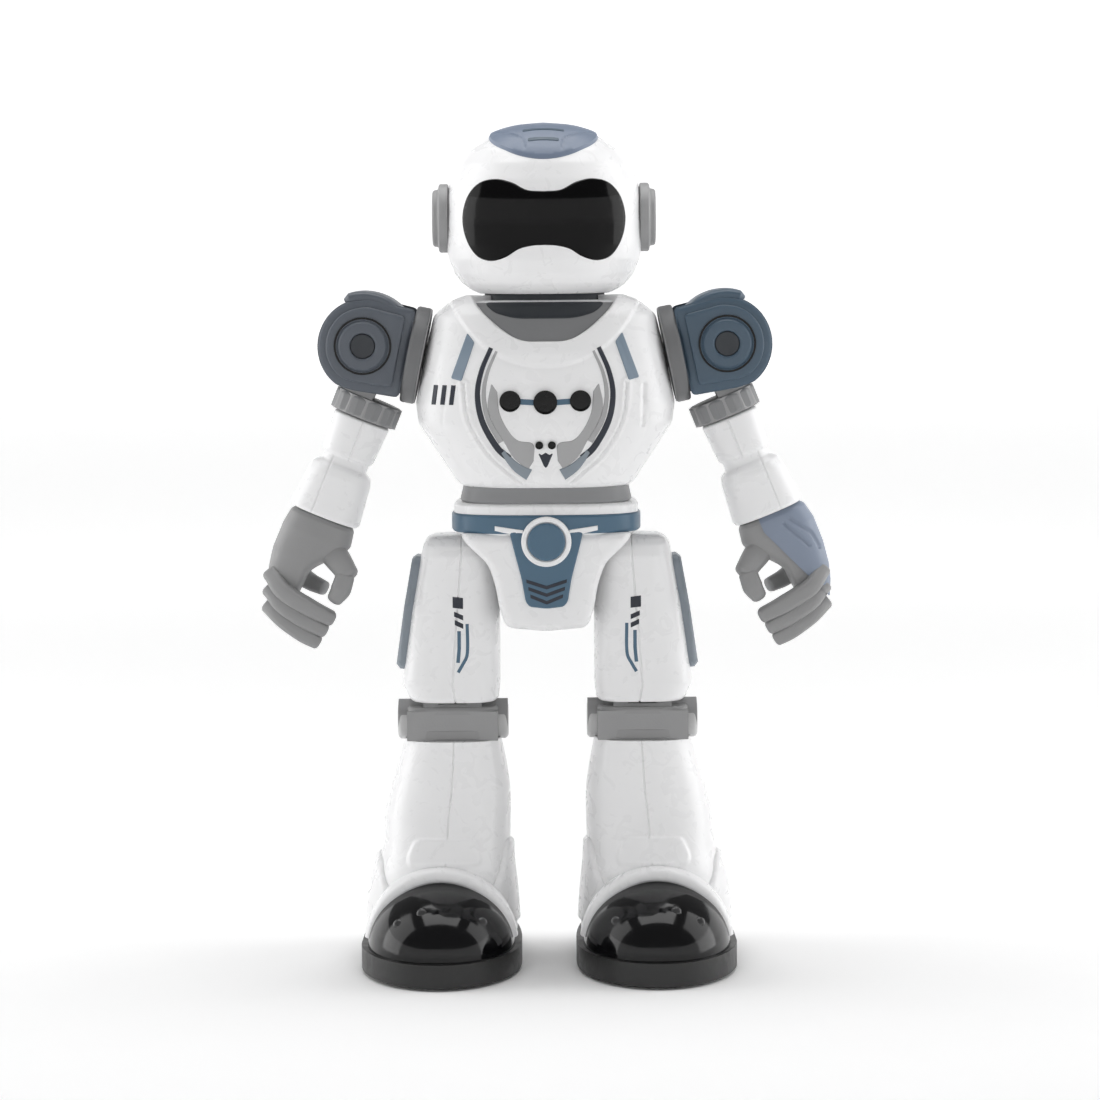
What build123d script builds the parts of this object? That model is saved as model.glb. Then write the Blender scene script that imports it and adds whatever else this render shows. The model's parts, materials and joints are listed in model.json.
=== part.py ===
from build123d import *
import math
import os

# Toy robot that rolls on powered wheels hidden in its two feet. Millimetres.
# Origin: on the floor, in the middle of the footprint.
# +Z is up, the face looks towards -Y, and the robot's left is +X.

# ---- driving dimensions -------------------------------------------------------------------------
BODY_Y = 4.0                 # middle of head, torso and pelvis, front to back
LEG_Y = 8.0                  # hip and knee axes, front to back
WALL = 2.2                   # moulded wall thickness
GAP = 0.4                    # free gap between parts that move on each other
RUNNING = 0.05               # radial clearance of a turning shaft in its bore
OVAL_POINTS = 24

# foot, wheels and drive
FOOT_X = 33.2
SOLE_BOTTOM = 1.0
RIM_TOP = 8.0
SOLE_HALF_WIDTH = 24.7
SOLE_FRONT, SOLE_BACK = -45.0, 45.0
SOLE_FLOOR = 2.0
SOLE_RIM = 2.5
TOE_Y = -8.0                 # vertical plane where the toe cap meets the foot shell
TOE_HALF_WIDTH = 22.8
TOE_LENGTH = 35.0
TOE_HEIGHT = 20.5
WHEEL_RADIUS = 11.0
WHEEL_Y = 10.0
WHEEL_IN, WHEEL_OUT = 5.0, 13.0      # wheel's sides, measured outwards from the foot's middle
TYRE_DEPTH = 2.5
AXLE_RADIUS = 1.25
MODULE = 0.6
GEAR_TEETH, PINION_TEETH = 24, 10
GEAR_IN, GEAR_OUT = 1.0, 4.0
ROLLER_RADIUS = 4.5
ROLLER_HALF_WIDTH = 5.0
ROLLER_PIN = 1.0
FRONT_ROLLER_Y, REAR_ROLLER_Y = -32.0, 34.0
MOTOR_LENGTH, MOTOR_WIDTH, MOTOR_HEIGHT = 19.0, 20.0, 15.0

# knee and thigh
KNEE_X, KNEE_Z = 29.4, 76.0
KNEE_RADIUS = 11.0
KNEE_HALF = 9.0
KNEE_BLOCK_HALF, KNEE_BLOCK_TOP = 14.0, 79.0
KNEE_CAP_RADIUS, KNEE_CAP_END = 5.6, 17.0
KNEE_PIN = 2.0
TONGUE_HALF, TONGUE_RADIUS = 4.0, 8.0
SHIN_TOP = 70.0
THIGH_BOTTOM, THIGH_TOP = 82.0, 133.2
HIP_Z = 120.0
HIP_SHAFT = 3.0
HIP_PLATE_IN, HIP_PLATE_OUT, HIP_PLATE_RADIUS = 12.4, 14.0, 10.0

# pelvis, waist and torso
PELVIS_BOTTOM, BELT_BOTTOM, BELT_TOP = 105.0, 134.4, 144.0
PELVIS_FRONT, PELVIS_PLATE_BACK = -17.0, -10.4
BELT_HALF, BAND_RISE = 28.4, 0.8
BUCKLE_Z, BUCKLE_RADIUS = 132.6, 5.8
WAIST_TOP = 149.0
TORSO_TOP = 206.6
SIDE_TILT = 11.7             # tilt of the shoulder axis above the horizontal, degrees
SIDE_X, SIDE_Z = 37.0, 188.2  # where the shoulder axis leaves the torso
NECK_HALF_WIDTH, NECK_HALF_DEPTH = 17.0, 12.0
NECK_POST = 6.0
DOOR_HALF, DOOR_LOW, DOOR_HIGH = 19.0, 158.0, 188.0
SCREW_PLACES = ((27.0, 161.0), (-27.0, 161.0), (24.0, 197.0), (-24.0, 197.0))
SWITCH_X, SWITCH_Z = -24.0, 176.0

# head
HEAD_BOTTOM, HEAD_TOP = 207.6, 259.0
EAR_Z, EAR_RADIUS, EAR_END = 230.6, 10.5, 34.3

# arm
DISC_RADIUS, DISC_THICK = 14.7, 4.2
BALL_REACH = 18.9            # from the torso's side to the ball's centre, along the shoulder axis
BALL_RADIUS, BALL_FLAT = 12.8, 10.8
HUB_RADIUS, HUB_FRONT = 8.3, 12.2
LUG_HALF, LUG_THICK_HALF, LUG_EYE = 4.4, 3.7, 6.0
BRACKET_IN, BRACKET_OUT, BRACKET_HALF = 13.2, 16.6, 9.0
LIFT_MIN, LIFT_MAX = -5.0, 85.0
ARM_LEAN = 22.0              # the arm hangs this far outwards from straight down
ARM_SHIFT = -7.6             # the arm's centre line passes this far inwards of the ball's centre
COLLAR_TOP, COLLAR_REACH = 8.0, 13.9
RING_TOP, RING_END = 14.8, 21.0
UPPER_ARM_END, FOREARM_START, FOREARM_END = 34.0, 37.0, 53.6
PEG_TOP = 12.5
ARM_PEG, WRIST_PEG = 4.0, 3.5
FINGER_RADIUS, THUMB_TIP_RADIUS = 4.0, 3.5

nodes = {}


# ---- shared shapes ------------------------------------------------------------------------------
def oval(z, half_width, y_front, y_back, power=2.6, cx=0.0):
    """A level face whose outline is a rounded box: power 2 is an ellipse, more is squarer."""
    middle, half_depth = (y_front + y_back) / 2, (y_back - y_front) / 2
    points = []
    for i in range(OVAL_POINTS):
        a = 2 * math.pi * i / OVAL_POINTS
        c, s = math.cos(a), math.sin(a)
        x = cx + math.copysign(abs(c) ** (2 / power), c) * half_width
        y = middle + math.copysign(abs(s) ** (2 / power), s) * half_depth
        points.append((x, y, z))
    return make_face(Spline(*points, periodic=True))


def hull(rows, grow=0.0, power=2.6, bottom=None, top=None):
    """A closed body through rows of (z, centre x, half width, front y, back y), grown all round."""
    faces = []
    last = len(rows) - 1
    for i, (z, cx, half_width, y_front, y_back) in enumerate(rows):
        if i == 0:
            z = z - grow if bottom is None else bottom
        if i == last:
            z = z + grow if top is None else top
        faces.append(oval(z, half_width + grow, y_front - grow, y_back + grow, power, cx))
    return loft(faces, ruled=True)


def block(x0, x1, y0, y1, z0, z1):
    size = (x1 - x0, y1 - y0, z1 - z0)
    return Pos((x0 + x1) / 2, (y0 + y1) / 2, (z0 + z1) / 2) * Box(*size)


def rod_x(x0, x1, y, z, radius):
    return Pos((x0 + x1) / 2, y, z) * Rot(0, 90, 0) * Cylinder(radius, x1 - x0)


def rod_y(y0, y1, x, z, radius):
    return Pos(x, (y0 + y1) / 2, z) * Rot(90, 0, 0) * Cylinder(radius, y1 - y0)


def rod_z(z0, z1, x, y, radius):
    return Pos(x, y, (z0 + z1) / 2) * Cylinder(radius, z1 - z0)


def front_prism(points, y0, y1):
    """A prism with an outline drawn in the front view, as (x, z) points, from y0 back to y1."""
    face = make_face(Polyline(*[(x, y0, z) for x, z in points], close=True))
    return extrude(face, amount=y1 - y0, dir=(0, 1, 0))


def arc_points(cx, cz, radius, start, end, count):
    """Points along an arc in the front view, angles in degrees from +X towards +Z."""
    step = (end - start) / (count - 1)
    points = []
    for i in range(count):
        angle = math.radians(start + i * step)
        points.append((cx + radius * math.cos(angle), cz + radius * math.sin(angle)))
    return points


def add(name, shape, side=None):
    """Store a node. Sided parts are drawn on the left (+X) and mirrored for the right."""
    if side == "right":
        shape = mirror(shape, about=Plane.YZ)
    nodes[name if side is None else f"{name}_{side}"] = shape


# ---- head ---------------------------------------------------------------------------------------
HEAD_ROWS = [
    (HEAD_BOTTOM, 0, 20.0, BODY_Y - 18.5, BODY_Y + 18.5),
    (209.2, 0, 22.6, BODY_Y - 21.0, BODY_Y + 21.0),
    (213.2, 0, 27.0, BODY_Y - 25.0, BODY_Y + 25.0),
    (220.0, 0, 29.7, BODY_Y - 27.5, BODY_Y + 27.5),
    (230.0, 0, 30.6, BODY_Y - 28.4, BODY_Y + 28.4),
    (240.0, 0, 29.2, BODY_Y - 27.2, BODY_Y + 27.2),
    (248.0, 0, 25.0, BODY_Y - 23.4, BODY_Y + 23.4),
    (254.0, 0, 18.6, BODY_Y - 17.6, BODY_Y + 17.6),
    (257.6, 0, 11.0, BODY_Y - 10.6, BODY_Y + 10.6),
    (HEAD_TOP, 0, 4.0, BODY_Y - 4.0, BODY_Y + 4.0),
]
HEAD_POWER = 2.1
HEAD_SPLIT = BODY_Y + 1.0
VISOR_DEPTH = 1.6
CAP_RISE, CAP_BOTTOM = 1.0, 244.0


def visor_outline():
    """Goggle outline: two round lobes joined by a narrower waist."""
    lobe_x, lobe_radius, lobe_z = 13.4, 11.4, 229.9
    low, high = 222.2, 238.4
    right = arc_points(lobe_x, lobe_z, lobe_radius, 118, 0, 7)
    right += arc_points(lobe_x, lobe_z, lobe_radius, -18, -118, 6)
    return [(0, high)] + right + [(0, low)] + [(-x, z) for x, z in reversed(right)]


def make_head():
    outer = hull(HEAD_ROWS, 0, HEAD_POWER)
    inner = hull(HEAD_ROWS, -WALL, HEAD_POWER)
    window = front_prism(visor_outline(), BODY_Y - 40, BODY_Y - 8)
    neck_hole = rod_z(HEAD_BOTTOM - 2, HEAD_BOTTOM + 6, 0, BODY_Y, NECK_POST + RUNNING)
    cap_area = extrude(Pos(0, BODY_Y - 1.0, CAP_BOTTOM) * Ellipse(16.6, 21.5), amount=30)
    shell = outer - inner - neck_hole - cap_area
    pocket = (window & outer) - hull(HEAD_ROWS, -VISOR_DEPTH, HEAD_POWER)
    front_half = block(-50, 50, -50, HEAD_SPLIT, HEAD_BOTTOM - 5, HEAD_TOP + 5)
    add("head_front_shell", (shell & front_half) - pocket)
    add("head_rear_shell", shell - front_half)
    add("visor", pocket)
    add("crown_cap", (cap_area & hull(HEAD_ROWS, CAP_RISE, HEAD_POWER)) - inner)
    ears = None
    for sign in (1, -1):
        low, high = sorted((sign * 24.0, sign * 32.2))
        ear = rod_x(low, high, BODY_Y, EAR_Z, EAR_RADIUS)
        low, high = sorted((sign * 32.2, sign * EAR_END))
        ear = (ear + rod_x(low, high, BODY_Y, EAR_Z, EAR_RADIUS - 2.0)) - outer
        ear = ear.solids().sort_by(SortBy.VOLUME)[-1]
        ears = ear if ears is None else Compound(children=[ears, ear])
    add("ear_discs", ears)
    board = block(-16, 16, BODY_Y - 17.5, BODY_Y - 16.0, 224, 236)
    for x in (-9, 0, 9):
        board += rod_y(BODY_Y - 19.6, BODY_Y - 17.5, x, 230, 1.8)
    add("eye_light_board", board)


# ---- torso --------------------------------------------------------------------------------------
TORSO_ROWS = [
    (WAIST_TOP, 0, 26.6, BODY_Y - 22.5, BODY_Y + 20.5),
    (153.0, 0, 29.2, BODY_Y - 24.2, BODY_Y + 22.0),
    (168.0, 0, 39.2, BODY_Y - 27.6, BODY_Y + 25.0),
    (174.0, 0, 40.0, BODY_Y - 27.8, BODY_Y + 25.6),
    (190.0, 0, 37.2, BODY_Y - 25.6, BODY_Y + 24.6),
    (201.0, 0, 34.2, BODY_Y - 20.5, BODY_Y + 21.0),
    (TORSO_TOP, 0, 25.0, BODY_Y - 14.5, BODY_Y + 16.5),
]
TORSO_POWER = 3.0
TORSO_SPLIT = BODY_Y
COLLAR_SET, COLLAR_THICK = 1.0, 2.4
LENS_FRONT, LENS_LENGTH = BODY_Y - 28.4, 6.0
LENSES = (                   # x, z, radius
    (-10.6, 175.6, 3.2), (0, 175.2, 3.6), (10.6, 175.6, 3.2), (-1.9, 162.2, 1.2), (1.9, 162.2, 1.2)
)


def torso_skin(grow=0.0, bottom=None):
    return hull(TORSO_ROWS, grow, TORSO_POWER, bottom=bottom)


def side_frame():
    """Frame at the torso's left side: local +Z is the shoulder axis, pointing outwards and up."""
    tilt = math.radians(SIDE_TILT)
    outwards = (math.cos(tilt), 0, math.sin(tilt))
    return Plane(origin=(SIDE_X, BODY_Y, SIDE_Z), x_dir=(0, 1, 0), z_dir=outwards)


def neck_prism(z0, z1, grow=0.0):
    half_depth = NECK_HALF_DEPTH + grow
    face = oval(z0, NECK_HALF_WIDTH + grow, BODY_Y - half_depth, BODY_Y + half_depth, 2.2)
    return extrude(face, amount=z1 - z0, dir=(0, 0, 1))


def collar_outline():
    """U-shaped neckline in the front view."""
    right = [(7, 193.6), (13.5, 197.6), (21, 204.5), (22.5, 212)]
    return [(-x, z) for x, z in reversed(right)] + right


def make_torso():
    outer = torso_skin()
    inner = torso_skin(-WALL, bottom=WAIST_TOP - 1)
    shell = outer - inner
    flat = side_frame() * Pos(0, 0, 20) * Box(80, 80, 40)
    bore = side_frame() * Cylinder(ARM_PEG + RUNNING, 30)
    cut = flat + bore
    shell = shell - cut - mirror(cut, about=Plane.YZ)
    shell -= neck_prism(190, 215)
    collar_cut = front_prism(collar_outline(), -60, BODY_Y - 6)
    shell -= collar_cut
    lenses = []
    for x, z, radius in LENSES:
        lens = rod_y(LENS_FRONT, LENS_FRONT + LENS_LENGTH, x, z, radius).solids()[0]
        shell -= lens
        lenses.append(lens)
    add("sensor_lenses", Compound(children=lenses))
    rear = shell & block(-60, 60, TORSO_SPLIT, 60, 140, 215)
    front = shell & block(-60, 60, -60, TORSO_SPLIT, 140, 215)

    door_area = block(-DOOR_HALF, DOOR_HALF, BODY_Y + 10, 60, DOOR_LOW, DOOR_HIGH)
    door = rear & door_area
    rear = rear - door_area
    bosses_rear, bosses_front, screws = None, None, []
    inside = torso_skin(-WALL / 2)
    for x, z in SCREW_PLACES:
        post = rod_y(TORSO_SPLIT, 60, x, z, 3.4) & inside
        bosses_rear = post if bosses_rear is None else bosses_rear + post
        post = rod_y(-60, TORSO_SPLIT, x, z, 3.4) & inside
        bosses_front = post if bosses_front is None else bosses_front + post
    rear += bosses_rear
    front += bosses_front
    back = BODY_Y + 15.5
    for x, z in SCREW_PLACES:
        rear -= rod_y(back, 60, x, z, 2.8) + rod_y(-60, 60, x, z, 1.3)
        front -= rod_y(TORSO_SPLIT - 9, TORSO_SPLIT + 1, x, z, 1.3)
        screws.append(rod_y(back, back + 1.8, x, z, 2.6) + rod_y(TORSO_SPLIT - 8, back, x, z, 1.3))
    screw_head = rod_y(BODY_Y + 21.8, BODY_Y + 23.2, 0, DOOR_HIGH - 4, 2.2)
    slot_cut = block(SWITCH_X - 1.9, SWITCH_X + 1.9, BODY_Y, 60, SWITCH_Z - 5.2, SWITCH_Z + 5.2)
    socket_cut = block(-4.6, 4.6, BODY_Y, 60, 150.8, 154.0)
    add("torso_front_shell", front)
    add("torso_rear_shell", rear - slot_cut - socket_cut)
    add("battery_door", door - rod_y(BODY_Y + 21.8, 60, 0, DOOR_HIGH - 4, 2.3))
    add("body_screws", Compound(children=[s.solids()[0] for s in screws] + [screw_head.solids()[0]]))

    collar = (collar_cut & block(-60, 60, -60, 60, 180, TORSO_TOP - 1.2)) & torso_skin(-COLLAR_SET)
    collar = collar - torso_skin(-COLLAR_SET - COLLAR_THICK) - neck_prism(190, 215)
    add("collar_insert", collar.solids().sort_by(SortBy.VOLUME)[-1])
    add("neck_post", neck_prism(196, HEAD_BOTTOM - 0.6)
        + rod_z(200, 221, 0, BODY_Y, NECK_POST) + rod_z(221, 223, 0, BODY_Y, 9.0))


def make_insides():
    board = block(-21, 21, BODY_Y - 6, BODY_Y - 4.4, 157, 193)
    board += block(-8, 8, BODY_Y - 7.6, BODY_Y - 6, 168, 184)
    board += block(10, 16, BODY_Y - 10, BODY_Y - 6, 160, 170)
    add("main_board", board)
    add("battery_pack", block(-16.5, 16.5, BODY_Y + 4, BODY_Y + 20, 160, 186))
    add("speaker", rod_y(BODY_Y - 18, BODY_Y - 12, 0, 170, 11) + rod_y(BODY_Y - 12, BODY_Y - 9, 0, 170, 6))
    back = BODY_Y + 19
    socket = block(-4.4, 4.4, back - 6, back, 151.0, 153.8)
    add("charge_socket", socket - block(-3.6, 3.6, back - 4.5, back + 1, 151.7, 153.1))
    knob_y = BODY_Y + 22.3
    knob = block(SWITCH_X - 1.6, SWITCH_X + 1.6, knob_y - 3, knob_y + 3.4, SWITCH_Z - 3.0, SWITCH_Z + 1.0)
    add("power_switch", knob)


# ---- waist and pelvis ---------------------------------------------------------------------------
def make_waist():
    rows = [
        (BELT_TOP, 0, 26.3, BODY_Y - 20.0, BODY_Y + 19.0),
        (WAIST_TOP, 0, 25.6, BODY_Y - 21.4, BODY_Y + 19.6),
    ]
    hollow = hull(rows, -3.0, TORSO_POWER, bottom=BELT_TOP - 1, top=WAIST_TOP - 1.6)
    add("waist_insert", hull(rows, 0, TORSO_POWER) - hollow)


PELVIS_FRONT_OUTLINE = [             # right half, from the belt down to the middle
    (26.2, BELT_BOTTOM), (17.6, 125.4), (14.8, 113.0), (12.8, 105.8), (0, PELVIS_BOTTOM)
]


def pelvis_plate(y0, y1):
    right = PELVIS_FRONT_OUTLINE
    return front_prism(right + [(-x, z) for x, z in reversed(right[:-1])], y0, y1)


def belt_prism(z0, z1, grow=0.0):
    face = oval(z0, BELT_HALF + grow, PELVIS_FRONT - grow, BODY_Y + 20.0 + grow, TORSO_POWER)
    return extrude(face, amount=z1 - z0, dir=(0, 0, 1))


def make_pelvis():
    belt = belt_prism(BELT_BOTTOM, BELT_TOP) - belt_prism(BELT_BOTTOM + 2, BELT_TOP + 1, -WALL)
    plate = pelvis_plate(PELVIS_FRONT, PELVIS_PLATE_BACK)
    back, room = BODY_Y + 16, HIP_PLATE_IN - WALL
    core = block(-HIP_PLATE_IN, HIP_PLATE_IN, PELVIS_PLATE_BACK, back, 107, BELT_BOTTOM + 1)
    core -= block(-room, room, PELVIS_PLATE_BACK + WALL, back - WALL, 109, BELT_BOTTOM + 5)
    shaft_hole = rod_x(-40, 40, LEG_Y, HIP_Z, HIP_SHAFT)
    add("pelvis_shell", belt + plate + core - shaft_hole)

    bracket = rod_x(-26, 26, LEG_Y, HIP_Z, HIP_SHAFT)
    for sign in (1, -1):
        low, high = sorted((sign * HIP_PLATE_IN, sign * HIP_PLATE_OUT))
        bracket += rod_x(low, high, LEG_Y, HIP_Z, HIP_PLATE_RADIUS)
        low, high = sorted((sign * 24.0, sign * 26.0))
        bracket += rod_x(low, high, LEG_Y, HIP_Z, 5.5)
    add("hip_bracket", bracket)

    band_top = BELT_TOP - 3.4
    band = belt_prism(BELT_BOTTOM, band_top, BAND_RISE) - belt_prism(BELT_BOTTOM - 1, band_top + 1)
    right = [(0, 112.0), (6.0, 113.6), (8.6, 130.5), (9.8, BELT_BOTTOM + 0.2)]
    tail = right + [(-x, z) for x, z in reversed(right[1:])]
    tail_piece = front_prism(tail, PELVIS_FRONT - BAND_RISE, PELVIS_FRONT)
    buckle = rod_y(PELVIS_FRONT - 3.4, PELVIS_FRONT - BAND_RISE, 0, BUCKLE_Z, BUCKLE_RADIUS)
    add("belt_trim", band + tail_piece + buckle)


# ---- arms ---------------------------------------------------------------------------------------
def ball_centre():
    tilt = math.radians(SIDE_TILT)
    return SIDE_X + BALL_REACH * math.cos(tilt), BODY_Y, SIDE_Z + BALL_REACH * math.sin(tilt)


def arm_frame(distance):
    """Frame on the arm's centre line: local +Z runs down the arm, local +X points outwards."""
    x, y, z = ball_centre()
    lean = math.radians(ARM_LEAN)
    down = (math.sin(lean), 0, -math.cos(lean))
    out = (math.cos(lean), 0, math.sin(lean))
    x += down[0] * distance + out[0] * ARM_SHIFT
    z += down[2] * distance + out[2] * ARM_SHIFT
    return Plane(origin=(x, y, z), x_dir=out, z_dir=down)


def slot_outline(start, end, half, reach):
    """Front-view outline swept by a bar of half height `half` that turns about the ball's centre."""
    cx, _, cz = ball_centre()
    outer = []
    steps = 5
    for i in range(steps):
        a = math.radians(start + (end - start) * i / (steps - 1))
        outer.append((cx + reach * math.cos(a), cz + reach * math.sin(a)))
    a0, a1 = math.radians(start), math.radians(end)
    inner_end = (cx - half * math.sin(a1), cz + half * math.cos(a1))
    outer_end = (outer[-1][0] - half * math.sin(a1), outer[-1][1] + half * math.cos(a1))
    inner_start = (cx + half * math.sin(a0), cz - half * math.cos(a0))
    outer_start = (outer[0][0] + half * math.sin(a0), outer[0][1] - half * math.cos(a0))
    return [inner_start, outer_start] + outer[1:-1] + [outer_end, inner_end]


def make_shoulder(side):
    frame = side_frame()
    cx, cy, cz = ball_centre()
    to_torso = 180.0 + SIDE_TILT
    disc = frame * Pos(0, 0, GAP + DISC_THICK / 2) * Cylinder(DISC_RADIUS, DISC_THICK)
    disc += frame * Pos(0, 0, -1.5) * Cylinder(ARM_PEG, 9)
    disc += frame * Pos(0, 0, -6.0) * Cylinder(6.5, 2.0)
    reach = BALL_REACH - GAP - DISC_THICK
    lug = frame * Pos(0, 0, BALL_REACH - reach / 2) * Box(2 * LUG_THICK_HALF, 2 * LUG_HALF, reach)
    lug += rod_y(cy - LUG_THICK_HALF, cy + LUG_THICK_HALF, cx, cz, LUG_EYE)
    pin_hole = rod_y(cy - 20, cy + 20, cx, cz, KNEE_PIN + RUNNING)
    add("shoulder_disc", disc + lug - pin_hole, side)

    ring = rod_y(cy - BRACKET_HALF, cy + BRACKET_HALF, cx, cz, BRACKET_OUT)
    ring -= rod_y(cy - 20, cy + 20, cx, cz, BRACKET_IN)
    sector = [(cx, cz)] + arc_points(cx, cz, 40, 62, 172, 6)
    ring = ring & front_prism(sector, cy - 20, cy + 20)
    ring -= frame * Pos(0, 0, GAP + DISC_THICK - 20) * Box(80, 80, 40)
    add("shoulder_bracket", ring, side)

    between_flats = block(cx - 20, cx + 20, cy - BALL_FLAT, cy + BALL_FLAT, cz - 20, cz + 20)
    ball = (Pos(cx, cy, cz) * Sphere(BALL_RADIUS)) & between_flats
    ball += rod_y(cy - HUB_FRONT, cy + HUB_FRONT, cx, cz, HUB_RADIUS)
    slot_half = LUG_THICK_HALF + GAP
    swept = slot_outline(to_torso - LIFT_MAX - 2, to_torso - LIFT_MIN + 2, LUG_HALF + GAP, 24)
    slot = front_prism(swept, cy - slot_half, cy + slot_half)
    slot += rod_y(cy - slot_half, cy + slot_half, cx, cz, LUG_EYE + GAP)
    ball = ball - slot + rod_y(cy - BALL_FLAT, cy + BALL_FLAT, cx, cz, KNEE_PIN)
    add("shoulder_ball", ball, side)

    collar = arm_frame((COLLAR_TOP + RING_TOP) / 2) * Cylinder(9.0, RING_TOP - COLLAR_TOP)
    outer_half = arm_frame(RING_TOP) * Pos(9, 0, 0) * Box(20, 24, 8)
    collar = collar & (rod_y(cy - 12, cy + 12, cx, cz, COLLAR_REACH) + outer_half)
    ring_face = arm_frame(RING_TOP) * RegularPolygon(10.6, 12)
    collar += extrude(ring_face, amount=RING_END - RING_TOP)
    collar -= Pos(cx, cy, cz) * Sphere(BALL_RADIUS)
    bore_top, bore_end = PEG_TOP - 0.6, RING_END + 1
    peg_bore = arm_frame((bore_top + bore_end) / 2) * Cylinder(ARM_PEG + RUNNING, bore_end - bore_top)
    collar -= peg_bore
    nodes[f"shoulder_ball_{side}"] -= mirror(peg_bore, about=Plane.YZ) if side == "right" else peg_bore
    add("arm_collar", collar.solids().sort_by(SortBy.VOLUME)[-1], side)


def tapered(start, end, r0, r1):
    low = arm_frame(start) * Circle(r0)
    high = arm_frame(end) * Circle(r1)
    return loft([low, high], ruled=True)


def make_arm(side):
    start = RING_END + GAP
    arm = tapered(start, UPPER_ARM_END, 8.9, 8.2) + tapered(UPPER_ARM_END, FOREARM_START, 7.4, 7.4)
    arm += tapered(FOREARM_START, FOREARM_START + 2.5, 8.6, 9.8)
    arm += tapered(FOREARM_START + 2.5, FOREARM_END, 9.8, 11.4)
    arm -= arm_frame((start + 2 + FOREARM_END - 9) / 2) * Cylinder(5.4, FOREARM_END - 9 - start - 2)
    arm += arm_frame((PEG_TOP + start + 2) / 2) * Cylinder(ARM_PEG, start + 2 - PEG_TOP)
    arm -= arm_frame(FOREARM_END - 4) * Cylinder(WRIST_PEG + RUNNING, 20)
    add("arm_shell", arm, side)


def rounded_bar(a, b, radius):
    """A finger segment with round ends between two points (outwards, front, down the arm)."""
    frame = arm_frame(0)
    pa = frame.from_local_coords(Vector(a[0], a[1], a[2]))
    pb = frame.from_local_coords(Vector(b[0], b[1], b[2]))
    axis = pb - pa
    rod = Plane(origin=(pa + pb) / 2, z_dir=axis) * Cylinder(radius, axis.length)
    return rod + Pos(*pa) * Sphere(radius) + Pos(*pb) * Sphere(radius)


def make_hand(side):
    start = FOREARM_END + GAP
    palm = arm_frame(0) * Pos(0.6, 0, start + 12.8) * ellipsoid(10.8, 7.4, 13.4)
    palm += arm_frame(start + 1.5) * Cylinder(9.5, 3)
    palm -= arm_frame(start - 10) * Cylinder(20, 20)
    palm += arm_frame(start - 3.0) * Cylinder(WRIST_PEG, 8)
    for i in range(4):
        y = 4.1 * i - 6.2
        knuckle = (7.0 - 0.4 * i, y, start + 21.0 + 2.0 * i)
        tip = (-10.4 + 0.5 * i, y - 0.6, start + 25.0 + 3.2 * i)
        palm += rounded_bar(knuckle, tip, FINGER_RADIUS)
        palm += rounded_bar((3.0, y, start + 15.0), knuckle, FINGER_RADIUS)
    palm += rounded_bar((-6.0, -3, start + 7), (-12.2, -6.5, start + 14), FINGER_RADIUS)
    palm += rounded_bar((-12.2, -6.5, start + 14), (-11.4, -8.0, start + 20), THUMB_TIP_RADIUS)
    add("hand", palm.solids().sort_by(SortBy.VOLUME)[-1], side)
    if side == "left":
        cover = arm_frame(0) * Pos(2.0, 0, start + 12.8) * ellipsoid(11.0, 8.6, 13.6)
        cover = cover & (arm_frame(0) * Pos(12.0, 0, start + 11) * Box(20, 40, 20))
        cover = cover - palm
        add("glove_cover", cover.solids().sort_by(SortBy.VOLUME)[-1], side)


def ellipsoid(a, b, c):
    return scale(Sphere(1), by=(a, b, c))


# ---- legs ---------------------------------------------------------------------------------------
THIGH_ROWS = [
    (THIGH_BOTTOM, 28.9, 13.9, LEG_Y - 15.2, LEG_Y + 15.2),
    (87.5, 29.8, 15.2, LEG_Y - 15.6, LEG_Y + 15.6),
    (110.0, 28.2, 13.6, LEG_Y - 15.4, LEG_Y + 15.4),
    (127.0, 26.7, 12.1, LEG_Y - 15.0, LEG_Y + 15.0),
    (131.2, 26.6, 11.2, LEG_Y - 13.6, LEG_Y + 13.6),
    (THIGH_TOP, 26.6, 9.0, LEG_Y - 8.0, LEG_Y + 8.0),
]
THIGH_POWER = 3.6
TRIM_LOW, TRIM_HIGH = 91.5, 126.5


def make_thigh(side):
    outer = hull(THIGH_ROWS, 0, THIGH_POWER)
    shell = outer - hull(THIGH_ROWS, -WALL, THIGH_POWER, bottom=THIGH_BOTTOM - 1)
    web = block(KNEE_X - TONGUE_HALF, KNEE_X + TONGUE_HALF, LEG_Y - 7, LEG_Y + 7, KNEE_Z + 4, 97)
    web += rod_x(KNEE_X - TONGUE_HALF, KNEE_X + TONGUE_HALF, LEG_Y, KNEE_Z, TONGUE_RADIUS)
    shelf = hull(THIGH_ROWS, -WALL + 0.1, THIGH_POWER) & block(0, 60, -20, 40, 95, 97.5)
    shell = shell + web + shelf
    shell -= rod_x(0, 60, LEG_Y, KNEE_Z, KNEE_PIN + RUNNING)
    shell -= rod_x(10, 20, LEG_Y, HIP_Z, HIP_SHAFT + RUNNING)
    add("thigh_shell", shell, side)
    bar = hull(THIGH_ROWS, 2.6, THIGH_POWER) & block(30, 60, LEG_Y - 7.5, LEG_Y + 7.5, TRIM_LOW, TRIM_HIGH)
    add("thigh_trim", bar - outer, side)


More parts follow.
